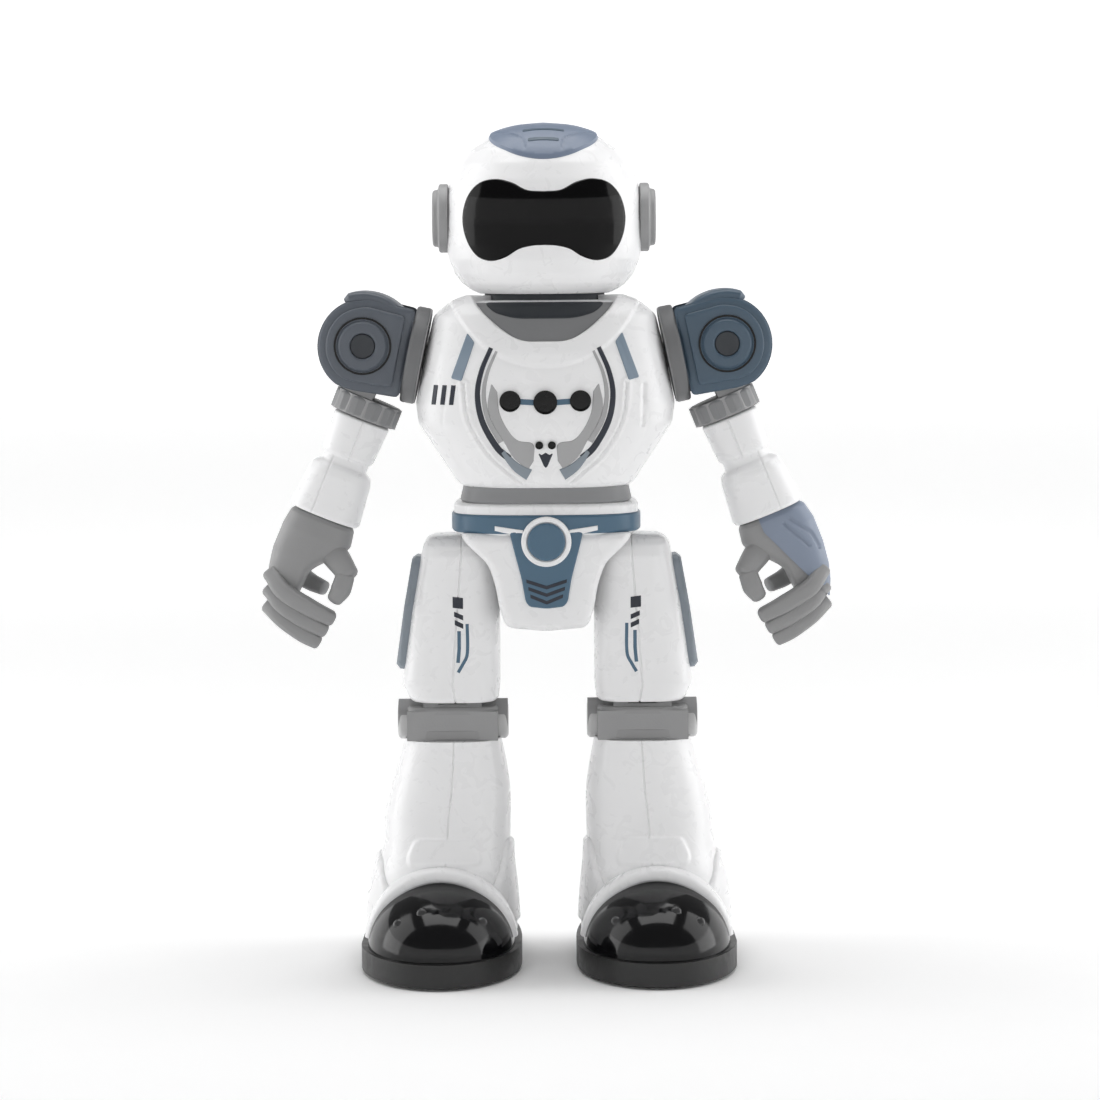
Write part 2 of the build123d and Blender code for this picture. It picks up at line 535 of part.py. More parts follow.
def make_knee(side):
    band = rod_x(KNEE_X - KNEE_HALF, KNEE_X + KNEE_HALF, LEG_Y, KNEE_Z, KNEE_RADIUS)
    band = band & block(0, 60, -20, 40, SHIN_TOP, 100)
    block_in, block_out = KNEE_X - KNEE_BLOCK_HALF, KNEE_X + KNEE_BLOCK_HALF
    band += block(block_in, block_out, LEG_Y - 12.4, LEG_Y + 12.4, SHIN_TOP, KNEE_BLOCK_TOP)
    slot_in, slot_out = KNEE_X - TONGUE_HALF - GAP, KNEE_X + TONGUE_HALF + GAP
    slot = rod_x(slot_in, slot_out, LEG_Y, KNEE_Z, TONGUE_RADIUS + GAP)
    slot += block(slot_in, slot_out, LEG_Y - 9.8, LEG_Y + 9.8, KNEE_Z, 100)
    band -= slot & block(0, 60, -20, 40, SHIN_TOP - 2, 100)
    band += rod_x(KNEE_X - KNEE_CAP_END, KNEE_X - KNEE_HALF, LEG_Y, KNEE_Z, KNEE_CAP_RADIUS)
    band += rod_x(KNEE_X + KNEE_HALF, KNEE_X + KNEE_CAP_END, LEG_Y, KNEE_Z, KNEE_CAP_RADIUS)
    band += rod_x(KNEE_X - KNEE_HALF, KNEE_X + KNEE_HALF, LEG_Y, KNEE_Z, KNEE_PIN)
    add("knee_band", band, side)


SHIN_ROWS = [
    (RIM_TOP, 33.2, 23.5, -12.0, 43.4),
    (20.0, 33.2, 23.2, -15.0, 42.0),
    (30.0, 32.8, 22.3, -16.6, 38.5),
    (36.0, 32.1, 21.3, -14.4, 35.6),
    (46.6, 30.8, 19.8, -11.4, 31.0),
    (58.0, 29.8, 17.2, -9.4, 27.4),
    (SHIN_TOP, 29.4, 14.9, -7.6, 23.8),
]
SHIN_POWER = 2.8


def toe_volume(grow=0.0):
    sizes = (TOE_HALF_WIDTH + grow, TOE_LENGTH + grow, TOE_HEIGHT + grow)
    dome = Pos(FOOT_X, TOE_Y, RIM_TOP) * ellipsoid(*sizes)
    return dome & block(0, 80, -60, TOE_Y, RIM_TOP, 60)


def sole_outline(z, inset=0.0):
    points = []
    for i in range(OVAL_POINTS):
        a = 2 * math.pi * i / OVAL_POINTS
        c, s = math.cos(a), math.sin(a)
        power = 2.9 if s > 0 else 2.0
        reach = SOLE_BACK - TOE_Y if s > 0 else TOE_Y - SOLE_FRONT
        x = FOOT_X + math.copysign(abs(c) ** (2 / power), c) * (SOLE_HALF_WIDTH - inset)
        y = TOE_Y + math.copysign(abs(s) ** (2 / power), s) * (reach - inset)
        points.append((x, y, z))
    return make_face(Spline(*points, periodic=True))


def make_shin(side):
    outer = hull(SHIN_ROWS, 0, SHIN_POWER)
    inner = hull(SHIN_ROWS, -WALL, SHIN_POWER, bottom=RIM_TOP - 1)
    shell = outer - inner
    slot_in, slot_out = KNEE_X - TONGUE_HALF - GAP, KNEE_X + TONGUE_HALF + GAP
    knee_slot = block(slot_in, slot_out, LEG_Y - 9, LEG_Y + 9, 66, 72)
    add("shin_shell", (shell - toe_volume() - knee_slot).solids().sort_by(SortBy.VOLUME)[-1], side)
    wall = (toe_volume() - toe_volume(-2.0)) & block(0, 80, -60, TOE_Y, RIM_TOP, 60)
    add("toe_cap", wall.solids().sort_by(SortBy.VOLUME)[-1], side)


def make_sole(side):
    sole = extrude(sole_outline(SOLE_BOTTOM), amount=RIM_TOP - SOLE_BOTTOM, dir=(0, 0, 1))
    sole -= extrude(sole_outline(SOLE_BOTTOM + SOLE_FLOOR, SOLE_RIM), amount=RIM_TOP, dir=(0, 0, 1))
    x = FOOT_X
    sole += block(x - 12, x - 5, WHEEL_Y - 5, WHEEL_Y + 5, 2, 13.6)
    sole += block(x + 14, x + 17.5, WHEEL_Y - 4, WHEEL_Y + 4, 2, 14)
    for y in (FRONT_ROLLER_Y, REAR_ROLLER_Y):
        for x0, x1 in ((x - 9.5, x - 6.2), (x + 6.2, x + 9.5)):
            sole += block(x0, x1, y - 3, y + 3, 2, 7.4)
        half = ROLLER_HALF_WIDTH + 0.6
        sole -= block(x - half, x + half, y - 5.2, y + 5.2, 0, 10)
        bore = rod_x(x - 20, x + 20, y, ROLLER_RADIUS, ROLLER_PIN + RUNNING)
        sole -= bore & block(x - 11, x + 11, y - 6, y + 6, 3.05, 20)
    sole -= block(x + WHEEL_IN - 0.7, x + WHEEL_OUT + 0.6, WHEEL_Y - 11.4, WHEEL_Y + 11.4, 0, 30)
    sole -= rod_x(x - 12.5, x + 18, WHEEL_Y, WHEEL_RADIUS, AXLE_RADIUS + RUNNING)
    add("sole", sole, side)


def gear_face(x, y, z, teeth, backlash=0.12):
    """Spur gear outline with involute flanks, in the plane across the axle."""
    pitch = MODULE * teeth / 2
    base = pitch * math.cos(math.radians(20))
    tip, root = pitch + MODULE, pitch - 1.25 * MODULE
    half_tooth = math.pi / (2 * teeth) - backlash / (2 * pitch)
    inv_pitch = math.tan(math.radians(20)) - math.radians(20)
    start = max(root, base)
    flank = []
    steps = 3
    for i in range(steps):
        r = start + (tip - start) * i / (steps - 1)
        pressure = math.acos(min(1.0, base / r))
        flank.append((r, half_tooth + inv_pitch - (math.tan(pressure) - pressure)))
    points = []
    for tooth in range(teeth):
        middle = 2 * math.pi * tooth / teeth
        profile = [(root, -flank[0][1])] if root < start else []
        profile += [(r, -a) for r, a in flank] + [(r, a) for r, a in reversed(flank)]
        profile += [(root, flank[0][1])] if root < start else []
        for r, a in profile:
            points.append((x, y + r * math.cos(middle + a), z + r * math.sin(middle + a)))
    return make_face(Polyline(*points, close=True))


def make_drive(side):
    x = FOOT_X
    spin_z = WHEEL_RADIUS + MODULE * (GEAR_TEETH + PINION_TEETH) / 2
    rim = WHEEL_RADIUS - TYRE_DEPTH
    hub = rod_x(x + WHEEL_IN, x + WHEEL_OUT, WHEEL_Y, WHEEL_RADIUS, rim)
    dish = rod_x(x + WHEEL_OUT - 2, x + WHEEL_OUT + 1, WHEEL_Y, WHEEL_RADIUS, rim - 2)
    hub -= dish - rod_x(x + WHEEL_OUT - 2, x + WHEEL_OUT + 1, WHEEL_Y, WHEEL_RADIUS, 3.0)
    hub += rod_x(x - 11.5, x + 17.2, WHEEL_Y, WHEEL_RADIUS, AXLE_RADIUS)
    gear = gear_face(x + GEAR_IN, WHEEL_Y, WHEEL_RADIUS, GEAR_TEETH)
    hub += extrude(gear, amount=GEAR_OUT - GEAR_IN, dir=(1, 0, 0))
    hub += rod_x(x + GEAR_OUT, x + WHEEL_IN, WHEEL_Y, WHEEL_RADIUS, 3.0)
    add("drive_wheel", hub, side)
    tyre = rod_x(x + WHEEL_IN, x + WHEEL_OUT, WHEEL_Y, WHEEL_RADIUS, WHEEL_RADIUS)
    add("tyre", tyre - rod_x(x, x + 20, WHEEL_Y, WHEEL_RADIUS, rim), side)

    gear = gear_face(x + GEAR_IN, WHEEL_Y, spin_z, PINION_TEETH)
    pinion = extrude(gear, amount=GEAR_OUT - GEAR_IN, dir=(1, 0, 0))
    pinion += rod_x(x - 4, x + GEAR_IN, WHEEL_Y, spin_z, 1.0)
    add("motor_pinion", pinion, side)
    low, high = spin_z - MOTOR_HEIGHT / 2, spin_z + MOTOR_HEIGHT / 2
    motor = rod_x(x - MOTOR_LENGTH - 0.4, x - 0.4, WHEEL_Y, spin_z, MOTOR_WIDTH / 2)
    motor = motor & block(x - 30, x + 10, WHEEL_Y - MOTOR_WIDTH, WHEEL_Y + MOTOR_WIDTH, low, high)
    motor += rod_x(x - 0.4, x + 0.4, WHEEL_Y, spin_z, 2.8)
    motor -= rod_x(x - 4.5, x + 3, WHEEL_Y, spin_z, 1.0 + RUNNING)
    add("drive_motor", motor, side)
    for name, y in (("front_roller", FRONT_ROLLER_Y), ("rear_roller", REAR_ROLLER_Y)):
        roller = rod_x(x - ROLLER_HALF_WIDTH, x + ROLLER_HALF_WIDTH, y, ROLLER_RADIUS, ROLLER_RADIUS)
        roller += rod_x(x - 9.2, x + 9.2, y, ROLLER_RADIUS, ROLLER_PIN)
        add(name, roller, side)


def main():
    make_head()
    make_torso()
    make_insides()
    make_waist()
    make_pelvis()
    for side in ("left", "right"):
        make_shoulder(side)
        make_arm(side)
        make_hand(side)
        make_thigh(side)
        make_knee(side)
        make_shin(side)
        make_sole(side)
        make_drive(side)
    os.makedirs("parts", exist_ok=True)
    for name, shape in nodes.items():
        export_step(shape, f"parts/{name}.step")


main()
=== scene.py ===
import json
import math

import bmesh
import bpy
import numpy as np
from mathutils import Matrix, Vector
from mathutils.bvhtree import BVHTree
from mathutils.geometry import delaunay_2d_cdt


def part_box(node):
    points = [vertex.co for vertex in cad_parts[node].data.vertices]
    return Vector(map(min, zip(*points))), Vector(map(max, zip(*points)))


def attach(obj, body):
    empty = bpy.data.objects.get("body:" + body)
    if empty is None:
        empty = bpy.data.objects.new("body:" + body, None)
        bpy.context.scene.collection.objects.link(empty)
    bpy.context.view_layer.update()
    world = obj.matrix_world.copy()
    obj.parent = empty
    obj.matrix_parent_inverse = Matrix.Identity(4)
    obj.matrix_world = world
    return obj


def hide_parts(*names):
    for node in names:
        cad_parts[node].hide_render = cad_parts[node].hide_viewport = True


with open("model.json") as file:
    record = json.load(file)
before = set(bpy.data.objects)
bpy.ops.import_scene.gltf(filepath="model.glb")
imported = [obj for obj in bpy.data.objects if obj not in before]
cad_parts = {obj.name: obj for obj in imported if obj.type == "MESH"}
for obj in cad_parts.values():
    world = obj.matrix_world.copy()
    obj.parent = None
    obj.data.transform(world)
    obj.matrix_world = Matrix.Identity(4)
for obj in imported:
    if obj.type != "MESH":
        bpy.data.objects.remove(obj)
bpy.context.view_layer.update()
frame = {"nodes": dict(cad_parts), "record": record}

# Lengths below are millimetres in the frame of the CAD model; MM turns them into metres.
MM = 0.001
SIDES = (("left", 1), ("right", -1))


def joint_place(name):
    """Where a joint of the record sits, in millimetres."""
    joints = frame["record"]["behaviour"]["joints"]
    return np.array(next(j for j in joints if j["name"] == name)["pos_m"]) / MM


def node_box(name):
    """Low and high corners of a CAD node, in millimetres."""
    low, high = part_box(name)
    return np.array(low) / MM, np.array(high) / MM


SOLE_LOW, SOLE_HIGH = node_box("sole_left")
FOOT_X = (SOLE_LOW[0] + SOLE_HIGH[0]) / 2
BALL = joint_place("shoulder_lift_left")
BODY_Y = BALL[1]
SWING = joint_place("shoulder_swing_left")
KNEE_X, LEG_Y, KNEE_Z = joint_place("knee_bend_left")
RIM_TOP = 8.0
TOE_BACK = -11.0
TOE_HALF, TOE_HEIGHT, TOE_REACH = 22.7, 20.3, 31.6
TILT = math.atan2(BALL[2] - SWING[2], BALL[0] - SWING[0])
WRIST, ELBOW = joint_place("wrist_twist_left"), joint_place("arm_twist_left")
LEAN = math.atan2(WRIST[0] - ELBOW[0], ELBOW[2] - WRIST[2])
ARM_SHIFT = -7.6


# ---- materials ----------------------------------------------------------------------------------
def material(name, color, roughness=0.3, mottle=0.03, bump=0.02, grain=900.0, wear=0.0, metallic=0.0,
             specular=0.5, spread=0.1):
    """Moulded surface: slight colour and gloss variation, fine grain, and rubbed patches where worn."""
    m = bpy.data.materials.new(name)
    m.use_nodes = True
    nodes, links = m.node_tree.nodes, m.node_tree.links
    shader = nodes["Principled BSDF"]
    shader.inputs["Metallic"].default_value = metallic
    shader.inputs["Specular IOR Level"].default_value = specular
    place = nodes.new("ShaderNodeTexCoord")
    cloud = nodes.new("ShaderNodeTexNoise")
    cloud.inputs["Scale"].default_value = 38.0
    cloud.inputs["Detail"].default_value = 5.0
    links.new(place.outputs["Object"], cloud.inputs["Vector"])
    tint = nodes.new("ShaderNodeValToRGB")
    tint.color_ramp.elements[0].position = 0.3
    tint.color_ramp.elements[1].position = 0.7
    tint.color_ramp.elements[0].color = [c * (1 - mottle) for c in color] + [1]
    tint.color_ramp.elements[1].color = [min(1.0, c * (1 + mottle)) for c in color] + [1]
    links.new(cloud.outputs["Fac"], tint.inputs["Fac"])
    scuff = nodes.new("ShaderNodeTexNoise")
    scuff.inputs["Scale"].default_value = 160.0
    scuff.inputs["Detail"].default_value = 8.0
    scuff.inputs["Distortion"].default_value = 1.4
    links.new(place.outputs["Object"], scuff.inputs["Vector"])
    gloss = nodes.new("ShaderNodeMapRange")
    gloss.inputs["From Min"].default_value = 0.35
    gloss.inputs["From Max"].default_value = 0.75
    gloss.inputs["To Min"].default_value = roughness
    gloss.inputs["To Max"].default_value = min(1.0, roughness + spread + wear)
    links.new(scuff.outputs["Fac"], gloss.inputs["Value"])
    links.new(gloss.outputs["Result"], shader.inputs["Roughness"])
    if wear > 0:
        rub = nodes.new("ShaderNodeMapRange")
        rub.inputs["From Min"].default_value = 0.6
        rub.inputs["From Max"].default_value = 0.8
        rub.inputs["To Max"].default_value = wear
        links.new(scuff.outputs["Fac"], rub.inputs["Value"])
        mix = nodes.new("ShaderNodeMix")
        mix.data_type = "RGBA"
        mix.inputs["B"].default_value = [min(1.0, c * 1.6 + 0.03) for c in color] + [1]
        links.new(rub.outputs["Result"], mix.inputs["Factor"])
        links.new(tint.outputs["Color"], mix.inputs["A"])
        links.new(mix.outputs["Result"], shader.inputs["Base Color"])
    else:
        links.new(tint.outputs["Color"], shader.inputs["Base Color"])
    fine = nodes.new("ShaderNodeTexNoise")
    fine.inputs["Scale"].default_value = grain
    fine.inputs["Detail"].default_value = 3.0
    links.new(place.outputs["Object"], fine.inputs["Vector"])
    relief = nodes.new("ShaderNodeBump")
    relief.inputs["Strength"].default_value = bump
    relief.inputs["Distance"].default_value = 0.0004
    links.new(fine.outputs["Fac"], relief.inputs["Height"])
    links.new(relief.outputs["Normal"], shader.inputs["Normal"])
    return m


WHITE = material("white_abs", (0.83, 0.83, 0.835), 0.27, mottle=0.006, bump=0.005, grain=1600, spread=0.02)
GREY = material("grey_abs", (0.29, 0.29, 0.293), 0.40, mottle=0.03, bump=0.10, grain=1400, wear=0.04)
HAND_GREY = material("hand_grey_abs", (0.27, 0.27, 0.272), 0.42, mottle=0.03, bump=0.12, grain=1300,
                     wear=0.04)
CUFF_GREY = material("cuff_grey_abs", (0.15, 0.152, 0.156), 0.42, mottle=0.03, bump=0.08, grain=1400)
COLLAR_GREY = material("collar_grey_abs", (0.21, 0.213, 0.218), 0.42, mottle=0.03, bump=0.08, grain=1400)
PALE_GREY = material("pale_grey_print", (0.36, 0.36, 0.365), 0.36, mottle=0.02, bump=0.04)
CAP_GREY = material("light_grey_abs", (0.55, 0.55, 0.55), 0.34, mottle=0.02, bump=0.04)
DARK_GREY = material("dark_grey_abs", (0.022, 0.026, 0.032), 0.42, mottle=0.04, bump=0.06)
BLUE = material("slate_blue_abs", (0.055, 0.09, 0.128), 0.38, mottle=0.03, bump=0.10, grain=1400, wear=0.04)
# Lighter, greyer copy of the slate blue for the right shoulder housing and hubs: painted light, a lit copy of
# the same plastic as the left side
BLUE_LIT_COPY = material("slate_blue_abs_lit_copy", (0.085, 0.098, 0.118), 0.40, mottle=0.03, bump=0.12, grain=1400,
                     wear=0.04)
STRIP_BLUE = material("strip_blue_paint", (0.20, 0.255, 0.315), 0.34, mottle=0.02, bump=0.03)
BELT_BLUE = material("belt_blue_paint", (0.06, 0.125, 0.19), 0.34, mottle=0.02, bump=0.03)
BAR_BLUE = material("bar_blue_abs", (0.22, 0.255, 0.29), 0.36, mottle=0.03, bump=0.06, grain=1400)
GLOVE = material("glove_blue_abs", (0.21, 0.25, 0.325), 0.38, mottle=0.03, bump=0.08, grain=1200, wear=0.04)
CAP_BLUE = material("cap_blue_abs", (0.16, 0.20, 0.275), 0.38, mottle=0.03, bump=0.08, grain=1200)
NAVY = material("navy_print", (0.012, 0.016, 0.028), 0.36, mottle=0.05, bump=0.03)
BLACK = material("black_gloss", (0.002, 0.002, 0.0022), 0.07, mottle=0.2, bump=0.0, specular=0.16)
TOE_BLACK = material("smoked_black", (0.003, 0.003, 0.0035), 0.07, mottle=0.2, bump=0.004, wear=0.02,
                     specular=0.32)
STUD_GREY = material("smoked_stud", (0.04, 0.04, 0.041), 0.16, mottle=0.1, bump=0.004)
SOLE_BLACK = material("sole_black", (0.010, 0.010, 0.010), 0.36, mottle=0.1, bump=0.08, wear=0.06)
LENS = material("lens_black", (0.003, 0.003, 0.003), 0.22, mottle=0.2, bump=0.01, specular=0.25)
RUBBER = material("tyre_rubber", (0.02, 0.02, 0.02), 0.7, mottle=0.15, bump=0.2, wear=0.1)
STEEL = material("steel", (0.5, 0.5, 0.52), 0.3, metallic=1.0, bump=0.05)
BRASS = material("brass", (0.6, 0.44, 0.2), 0.3, metallic=1.0, bump=0.05)
GEAR = material("gear_nylon", (0.7, 0.7, 0.66), 0.45, bump=0.05)
BOARD = material("board_green", (0.02, 0.13, 0.05), 0.35, mottle=0.2, bump=0.05)
WRAP = material("battery_wrap", (0.04, 0.09, 0.32), 0.3, mottle=0.05)
SLOT_LOOKS = {
    "white_shell": WHITE, "grey_shell": GREY, "blue_shell": BLUE, "glove_blue": GLOVE, "dark_grey": DARK_GREY,
    "visor_black": BLACK, "smoked_black": TOE_BLACK, "sole_black": SOLE_BLACK, "lens_black": LENS,
    "board_green": BOARD, "battery_wrap": WRAP, "speaker_metal": STEEL, "steel": STEEL, "brass": BRASS,
    "gear_white": GEAR, "tyre_rubber": RUBBER,
}


# ---- mesh tools ---------------------------------------------------------------------------------
def build(name, points, faces, look, body, slot, replaced=(), smooth_angle=35.0):
    """A piece from points in millimetres; it rides on a body and takes a material."""
    mesh = bpy.data.meshes.new(name)
    mesh.from_pydata([tuple(p * MM for p in point) for point in points], [], faces)
    bm = bmesh.new()
    bm.from_mesh(mesh)
    bmesh.ops.remove_doubles(bm, verts=bm.verts, dist=1e-7)
    bmesh.ops.recalc_face_normals(bm, faces=bm.faces)
    bm.to_mesh(mesh)
    bm.free()
    mesh.materials.append(look)
    piece = bpy.data.objects.new(name, mesh)
    bpy.context.scene.collection.objects.link(piece)
    mesh.shade_smooth()
    mesh.set_sharp_from_angle(angle=math.radians(smooth_angle))
    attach(piece, body)
    if replaced:
        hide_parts(*replaced)
    return piece


def smooth_rows(rows, levels, soften):
    """Section sizes at many heights: straight between rows, with the corners rounded over `soften` mm."""
    rows = np.array(rows, dtype=float)
    z = rows[:, 0]
    fine = np.linspace(z[0] - 3 * soften, z[-1] + 3 * soften, 900)
    kernel_x = np.arange(-3 * soften, 3 * soften + 1e-6, fine[1] - fine[0])
    kernel = np.exp(-((kernel_x / soften) ** 2) * 2)
    kernel /= kernel.sum()
    out = [levels]
    for column in range(1, rows.shape[1]):
        values = np.interp(fine, z, rows[:, column])
        low = values[0] + (fine - z[0]) * (rows[1, column] - rows[0, column]) / (z[1] - z[0])
        high = values[-1] + (fine - z[-1]) * (rows[-1, column] - rows[-2, column]) / (z[-1] - z[-2])
        values = np.where(fine < z[0], low, np.where(fine > z[-1], high, values))
        padded = np.pad(values, len(kernel) // 2, mode="edge")
        smoothed = np.convolve(padded, kernel, mode="valid")[: len(fine)]
        out.append(np.interp(levels, fine, smoothed))
    return np.array(out).T


def signed(v, power):
    return np.sign(v) * np.abs(v) ** power


def tube_points(sections, power, angles):
    """Grid of points through rounded-box sections (z, centre x, half width, front y, back y)."""
    c, s = np.cos(angles), np.sin(angles)
    z, cx, hw, yf, yb = [sections[:, i:i + 1] for i in range(5)]
    x = cx + signed(c, 2 / power)[None, :] * hw
    y = (yf + yb) / 2 + signed(s, 2 / power)[None, :] * (yb - yf) / 2
    return np.stack([x, y, np.broadcast_to(z, x.shape)], axis=-1)


def grid_normals(grid):
    du = np.roll(grid, -1, axis=1) - np.roll(grid, 1, axis=1)
    dv = np.gradient(grid, axis=0)
    n = np.cross(du, dv)
    length = np.linalg.norm(n, axis=-1, keepdims=True)
    return n / np.maximum(length, 1e-9)


def grid_faces(levels, around, first=0):
    faces = []
    for i in range(levels - 1):
        for j in range(around):
            k = (j + 1) % around
            faces.append((first + i * around + j, first + i * around + k, first + (i + 1) * around + k,
                          first + (i + 1) * around + j))
    return faces


def capped(grid):
    """Points and faces of a tube grid with both ends closed by a fan."""
    levels, around = grid.shape[:2]
    points = grid.reshape(-1, 3).tolist()
    faces = grid_faces(levels, around)
    for row, order in ((0, 1), (levels - 1, -1)):
        centre = len(points)
        points.append(grid[row].mean(axis=0).tolist())
        for j in range(around):
            k = (j + 1) % around
            ring = (row * around + j, row * around + k)
            faces.append((centre,) + (ring[::-1] if order == 1 else ring))
    return points, faces


def tube(rows, levels, soften, power, around, half_width, half_depth):
    """A rounded-box tube: `levels` is (lowest, highest, how many)."""
    sections = smooth_rows(rows, np.linspace(*levels), soften)
    return tube_points(sections, power, even_angles(around, power, half_width, half_depth))


def edge_distance(points, outline):
    """Distance from each 2D point to a closed outline, negative inside."""
    p = np.asarray(points, dtype=float)
    a = np.asarray(outline, dtype=float)
    b = np.roll(a, -1, axis=0)
    best = np.full(len(p), 1e9)
    inside = np.zeros(len(p), dtype=bool)
    for (ax, ay), (bx, by) in zip(a, b):
        dx, dy = bx - ax, by - ay
        t = np.clip(((p[:, 0] - ax) * dx + (p[:, 1] - ay) * dy) / max(dx * dx + dy * dy, 1e-12), 0, 1)
        best = np.minimum(best, np.hypot(p[:, 0] - ax - t * dx, p[:, 1] - ay - t * dy))
        crosses = (ay > p[:, 1]) != (by > p[:, 1])
        with np.errstate(divide="ignore", invalid="ignore"):
            at = ax + (p[:, 1] - ay) * dx / (dy if dy else 1e-12)
        inside ^= crosses & (p[:, 0] < at)
    return np.where(inside, -best, best)


def line_distance(points, line):
    """Distance from each 2D point to an open line."""
    p = np.asarray(points, dtype=float)
    best = np.full(len(p), 1e9)
    for (ax, ay), (bx, by) in zip(line[:-1], line[1:]):
        dx, dy = bx - ax, by - ay
        t = np.clip(((p[:, 0] - ax) * dx + (p[:, 1] - ay) * dy) / max(dx * dx + dy * dy, 1e-12), 0, 1)
        best = np.minimum(best, np.hypot(p[:, 0] - ax - t * dx, p[:, 1] - ay - t * dy))
    return best


def ramp(value, low, high):
    t = np.clip((value - low) / (high - low), 0, 1)
    return t * t * (3 - 2 * t)


def curve(points, count=40):
    """A smooth open line through a few points."""
    p = np.asarray(points, dtype=float)
    p = np.vstack([2 * p[0] - p[1], p, 2 * p[-1] - p[-2]])
    out = []
    spans = len(p) - 3
    for k in range(count):
        t = k / (count - 1) * spans
        i = min(int(t), spans - 1)
        f = t - i
        a, b, c, d = p[i:i + 4]
        bend, twist = 2 * a - 5 * b + 4 * c - d, 3 * b - a - 3 * c + d
        out.append(0.5 * (2 * b + (c - a) * f + bend * f * f + twist * f ** 3))
    return np.array(out)


def band(line, width, end_width=None):
    """Closed outline of a strip along a line; the width may change towards the end."""
    line = np.asarray(line, dtype=float)
    end_width = width if end_width is None else end_width
    direction = np.gradient(line, axis=0)
    direction /= np.maximum(np.linalg.norm(direction, axis=1, keepdims=True), 1e-9)
    side = np.stack([-direction[:, 1], direction[:, 0]], axis=1)
    half = np.linspace(width, end_width, len(line))[:, None] / 2
    return np.vstack([line + side * half, (line - side * half)[::-1]])


def corner(start, tip, end, steps):
    """Points along the curve that rounds a corner."""
    shares = [k / steps for k in range(steps + 1)]
    return [(1 - t) ** 2 * start + 2 * t * (1 - t) * tip + t * t * end for t in shares]


def rounded(outline, radius, steps=5):
    """The outline with its corners rounded."""
    pts = np.asarray(outline, dtype=float)
    out = []
    for i, p in enumerate(pts):
        a, b = pts[i - 1], pts[(i + 1) % len(pts)]
        la, lb = np.linalg.norm(a - p), np.linalg.norm(b - p)
        cut = min(radius, la * 0.45, lb * 0.45)
        start, end = p + (a - p) / la * cut, p + (b - p) / lb * cut
        out += corner(start, p, end, steps)
    return np.array(out)


def resample(outline, spacing):
    pts = np.asarray(outline, dtype=float)
    out = []
    for i, p in enumerate(pts):
        q = pts[(i + 1) % len(pts)]
        count = max(1, int(np.ceil(np.linalg.norm(q - p) / spacing)))
        out += [p + (q - p) * k / count for k in range(count)]
    return np.array(out)


def flip(outline):
    return np.asarray(outline, dtype=float) * np.array([-1, 1])


class Surface:
    """A surface to lay plates on, seen from the front, the back, the top or a side."""

    def __init__(self, points, faces):
        self.tree = BVHTree.FromPolygons([Vector(p) for p in points], faces)

    def hit(self, a, b, view):
        if view == "front":
            found = self.tree.ray_cast(Vector((a, -90, b)), Vector((0, 1, 0)))
        elif view == "back":
            found = self.tree.ray_cast(Vector((a, 120, b)), Vector((0, -1, 0)))
        elif view == "top":
            found = self.tree.ray_cast(Vector((a, b, 400)), Vector((0, 0, -1)))
        else:
            sign = 1 if view == "left" else -1
            found = self.tree.ray_cast(Vector((sign * 120, a, b)), Vector((-sign, 0, 0)))
        if found[0] is None:
            nearest = self.tree.find_nearest(Vector((a, -20, b)) if view == "front" else Vector((0, a, b)))
            return nearest[0], nearest[1]
        return found[0], found[1]


def open_edges(faces):
    """The edges that only one face uses, in the order of the faces."""
    edges = {}
    for face in faces:
        for pair in zip(face, face[1:] + face[:1]):
            edges[pair] = True
    return [(a, b) for a, b in edges if (b, a) not in edges]


def plate_mesh(surface, outline, rise, sink=0.6, edge=0.35, spacing=1.0, view="front", relief=None):
    """A plate that follows a surface: raised by `rise`, rounded at its outline, with a skirt into it."""
    border = resample(outline, spacing * 0.7)
    low, high = border.min(axis=0), border.max(axis=0)
    gx, gz = np.meshgrid(np.arange(low[0], high[0], spacing), np.arange(low[1], high[1], spacing))
    inner = np.stack([gx.ravel(), gz.ravel()], axis=1)
    inner = inner[edge_distance(inner, border) < -max(edge * 1.4, 0.35 * spacing)]
    inset = []
    for i, p in enumerate(border):
        t = border[(i + 1) % len(border)] - border[i - 1]
        t = t / max(np.linalg.norm(t), 1e-9)
        for sign in (1, -1):
            q = p + sign * np.array([-t[1], t[0]]) * edge
            inset.append(q)
    inset = np.array(inset)
    depth = edge_distance(inset, border)
    inset = inset[depth < -edge * 0.9]
    pts = np.vstack([border, inset, inner])
    count = len(border)
    ring = [(i, (i + 1) % count) for i in range(count)]
    out = delaunay_2d_cdt([Vector(p) for p in pts], ring, [list(range(count))], 1, 1e-6)
    flat, tris = np.array([tuple(v) for v in out[0]]), out[2]
    depth = -edge_distance(flat, border)
    t = np.clip(depth / edge, 0, 1)
    height = rise - min(edge, rise + sink * 0.5) * (1 - np.sqrt(np.maximum(0.0, 1 - (1 - t) ** 2)))
    if relief is not None:
        height = height + relief(flat)
    points, base = [], []
    for (a, b), h in zip(flat, height):
        spot, normal = surface.hit(a, b, view)
        if normal.dot(Vector((0, -1, 0)) if view == "front" else normal) < 0:
            normal = -normal
        points.append(tuple(spot + normal * h))
        base.append(tuple(spot - normal * sink))
    faces = [tuple(f) for f in tris]
    lower = {}
    for a, b in open_edges(faces):
        for v in (a, b):
            if v not in lower:
                lower[v] = len(points)
                points.append(base[v])
        faces.append((b, a, lower[a], lower[b]))
    return points, faces


def plates(name, surface, outlines, rise, look, body, slot, replaced=(), **more):
    """Several plates of one colour as one piece."""
    points, faces = [], []
    for outline in outlines:
        p, f = plate_mesh(surface, outline, rise, **more)
        faces += [tuple(i + len(points) for i in face) for face in f]
        points += p
    return build(name, points, faces, look, body, slot, replaced)


